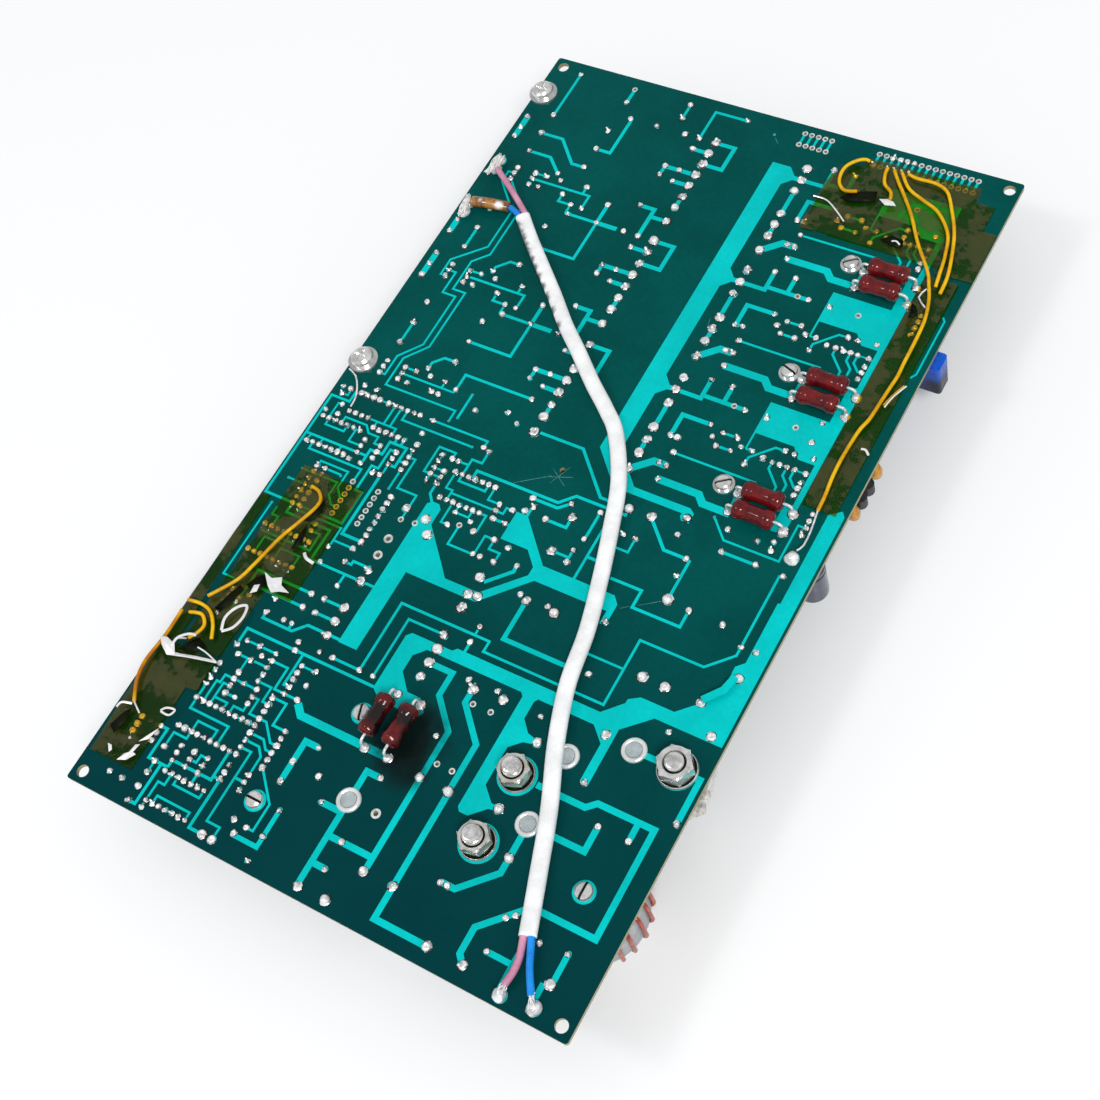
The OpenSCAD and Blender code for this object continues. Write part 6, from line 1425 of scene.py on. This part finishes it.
@dataclass
class StudioCamera:
    """The camera at the photograph's place, worked out from the board's four corners."""

    place: Point = (0.23056, -0.20087, 0.45492)
    turn: Point = (0.45889, 0.32063, 0.44493)
    lens: float = 56.585
    shift: tuple[float, float] = (-0.04595, -0.02397)

    def build(self) -> bpy.types.Object:
        """Set the camera up and make it the scene's own."""
        data = bpy.data.cameras.new("studio_camera")
        data.sensor_width = 36.0
        data.lens = self.lens
        data.shift_x, data.shift_y = self.shift
        data.clip_start = 0.01
        made = bpy.data.objects.new("studio_camera", data)
        made.rotation_mode = "QUATERNION"
        axis = Vector(self.turn)
        made.rotation_quaternion = Quaternion(axis.normalized(), axis.length)
        made.location = self.place
        bpy.context.scene.collection.objects.link(made)
        bpy.context.scene.camera = made
        return made


@dataclass
class Studio:
    """Pale glossy table, white surroundings and soft lamps."""

    floor_z: float = -31.6 * MM
    table: Colour = (0.92, 0.925, 0.93)

    def floor(self) -> bpy.types.Object:
        """Make the table's top."""
        mesh = bpy.data.meshes.new("table_top")
        reach = 4.0
        mesh.from_pydata(
            [(-reach, -reach, self.floor_z), (reach, -reach, self.floor_z),
             (reach, reach, self.floor_z), (-reach, reach, self.floor_z)], [], [(0, 1, 2, 3)]
        )
        made = bpy.data.objects.new("table_top", mesh)
        paint = bpy.data.materials.new("pale_table")
        paint.use_nodes = True
        shader = paint.node_tree.nodes["Principled BSDF"]
        shader.inputs["Base Color"].default_value = (*self.table, 1)
        shader.inputs["Roughness"].default_value = 0.22
        shader.inputs["Specular IOR Level"].default_value = 0.4
        mesh.materials.append(paint)
        bpy.context.scene.collection.objects.link(made)
        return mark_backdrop(made) or made

    def lamp(self, name: str, place: Point, size: float, power: float) -> None:
        """Hang one soft square lamp that faces the board."""
        data = bpy.data.lights.new(name, "AREA")
        data.size = size
        data.energy = power
        made = bpy.data.objects.new(name, data)
        made.location = place
        made.rotation_mode = "QUATERNION"
        made.rotation_quaternion = (-Vector(place)).to_track_quat("-Z", "Y")
        bpy.context.scene.collection.objects.link(made)

    def build(self) -> None:
        """Set up the table, the world and the lamps."""
        self.floor()
        world = bpy.data.worlds.new("white_room")
        bpy.context.scene.world = world
        world.use_nodes = True
        tree = world.node_tree
        back = tree.nodes["Background"]
        back.inputs["Strength"].default_value = 0.55
        apart = add_node(tree, "ShaderNodeSeparateXYZ")
        tree.links.new(add_node(tree, "ShaderNodeTexCoord").outputs["Generated"], apart.inputs[0])
        lit = maths(tree, "SUBTRACT", apart.outputs["Y"], apart.outputs["X"])
        share = ramped(tree, lit, -0.8, 0.8)
        tree.links.new(mixed(tree, share, (1.0, 1.0, 1.0), (0.88, 0.89, 0.91)), back.inputs["Color"])
        self.lamp("lamp_front", (2.4, -1.95, 4.05), 1.5, 164.0)
        self.lamp("lamp_side", (-0.8, -0.69, 1.6), 0.34, 5.0)
        bpy.context.scene.view_settings.view_transform = "Standard"


def dress_nodes() -> None:
    """Give each shown CAD node its finish."""
    for node, key in NODE_FINISHES.items():
        item = bpy.data.objects[node]
        item.data.materials.clear()
        item.data.materials.append(MATERIALS[key])
        LOG.info("%s: %s", node, key)


def main() -> None:
    """Build the object's pieces in order, then the room about it."""
    logging.basicConfig(level=logging.INFO, format="%(name)s: %(message)s")
    random.seed(7)
    StudioCamera().build()
    LinkCable().build()
    dress_nodes()
    PatchWires().build()
    small = ("driver_joints", "stage_joints", "control_joints", "output_joints")
    SolderJoints(small, Ground.SMALL_PAD, 0.16, 3).build()
    SolderJoints(("large_joints",), Ground.LARGE_PAD, 0.1, 5).build()
    AmberTape().build()
    PowerResistors().build()
    StudFastening().build()
    ScrewSlots().build()
    DiscFaces().build()
    ChokeWinding().build()
    FrayedEnds().build()
    LooseMetal().build()
    EdgeCompound().build()
    Studio().build()


if __name__ == "__main__":
    main()
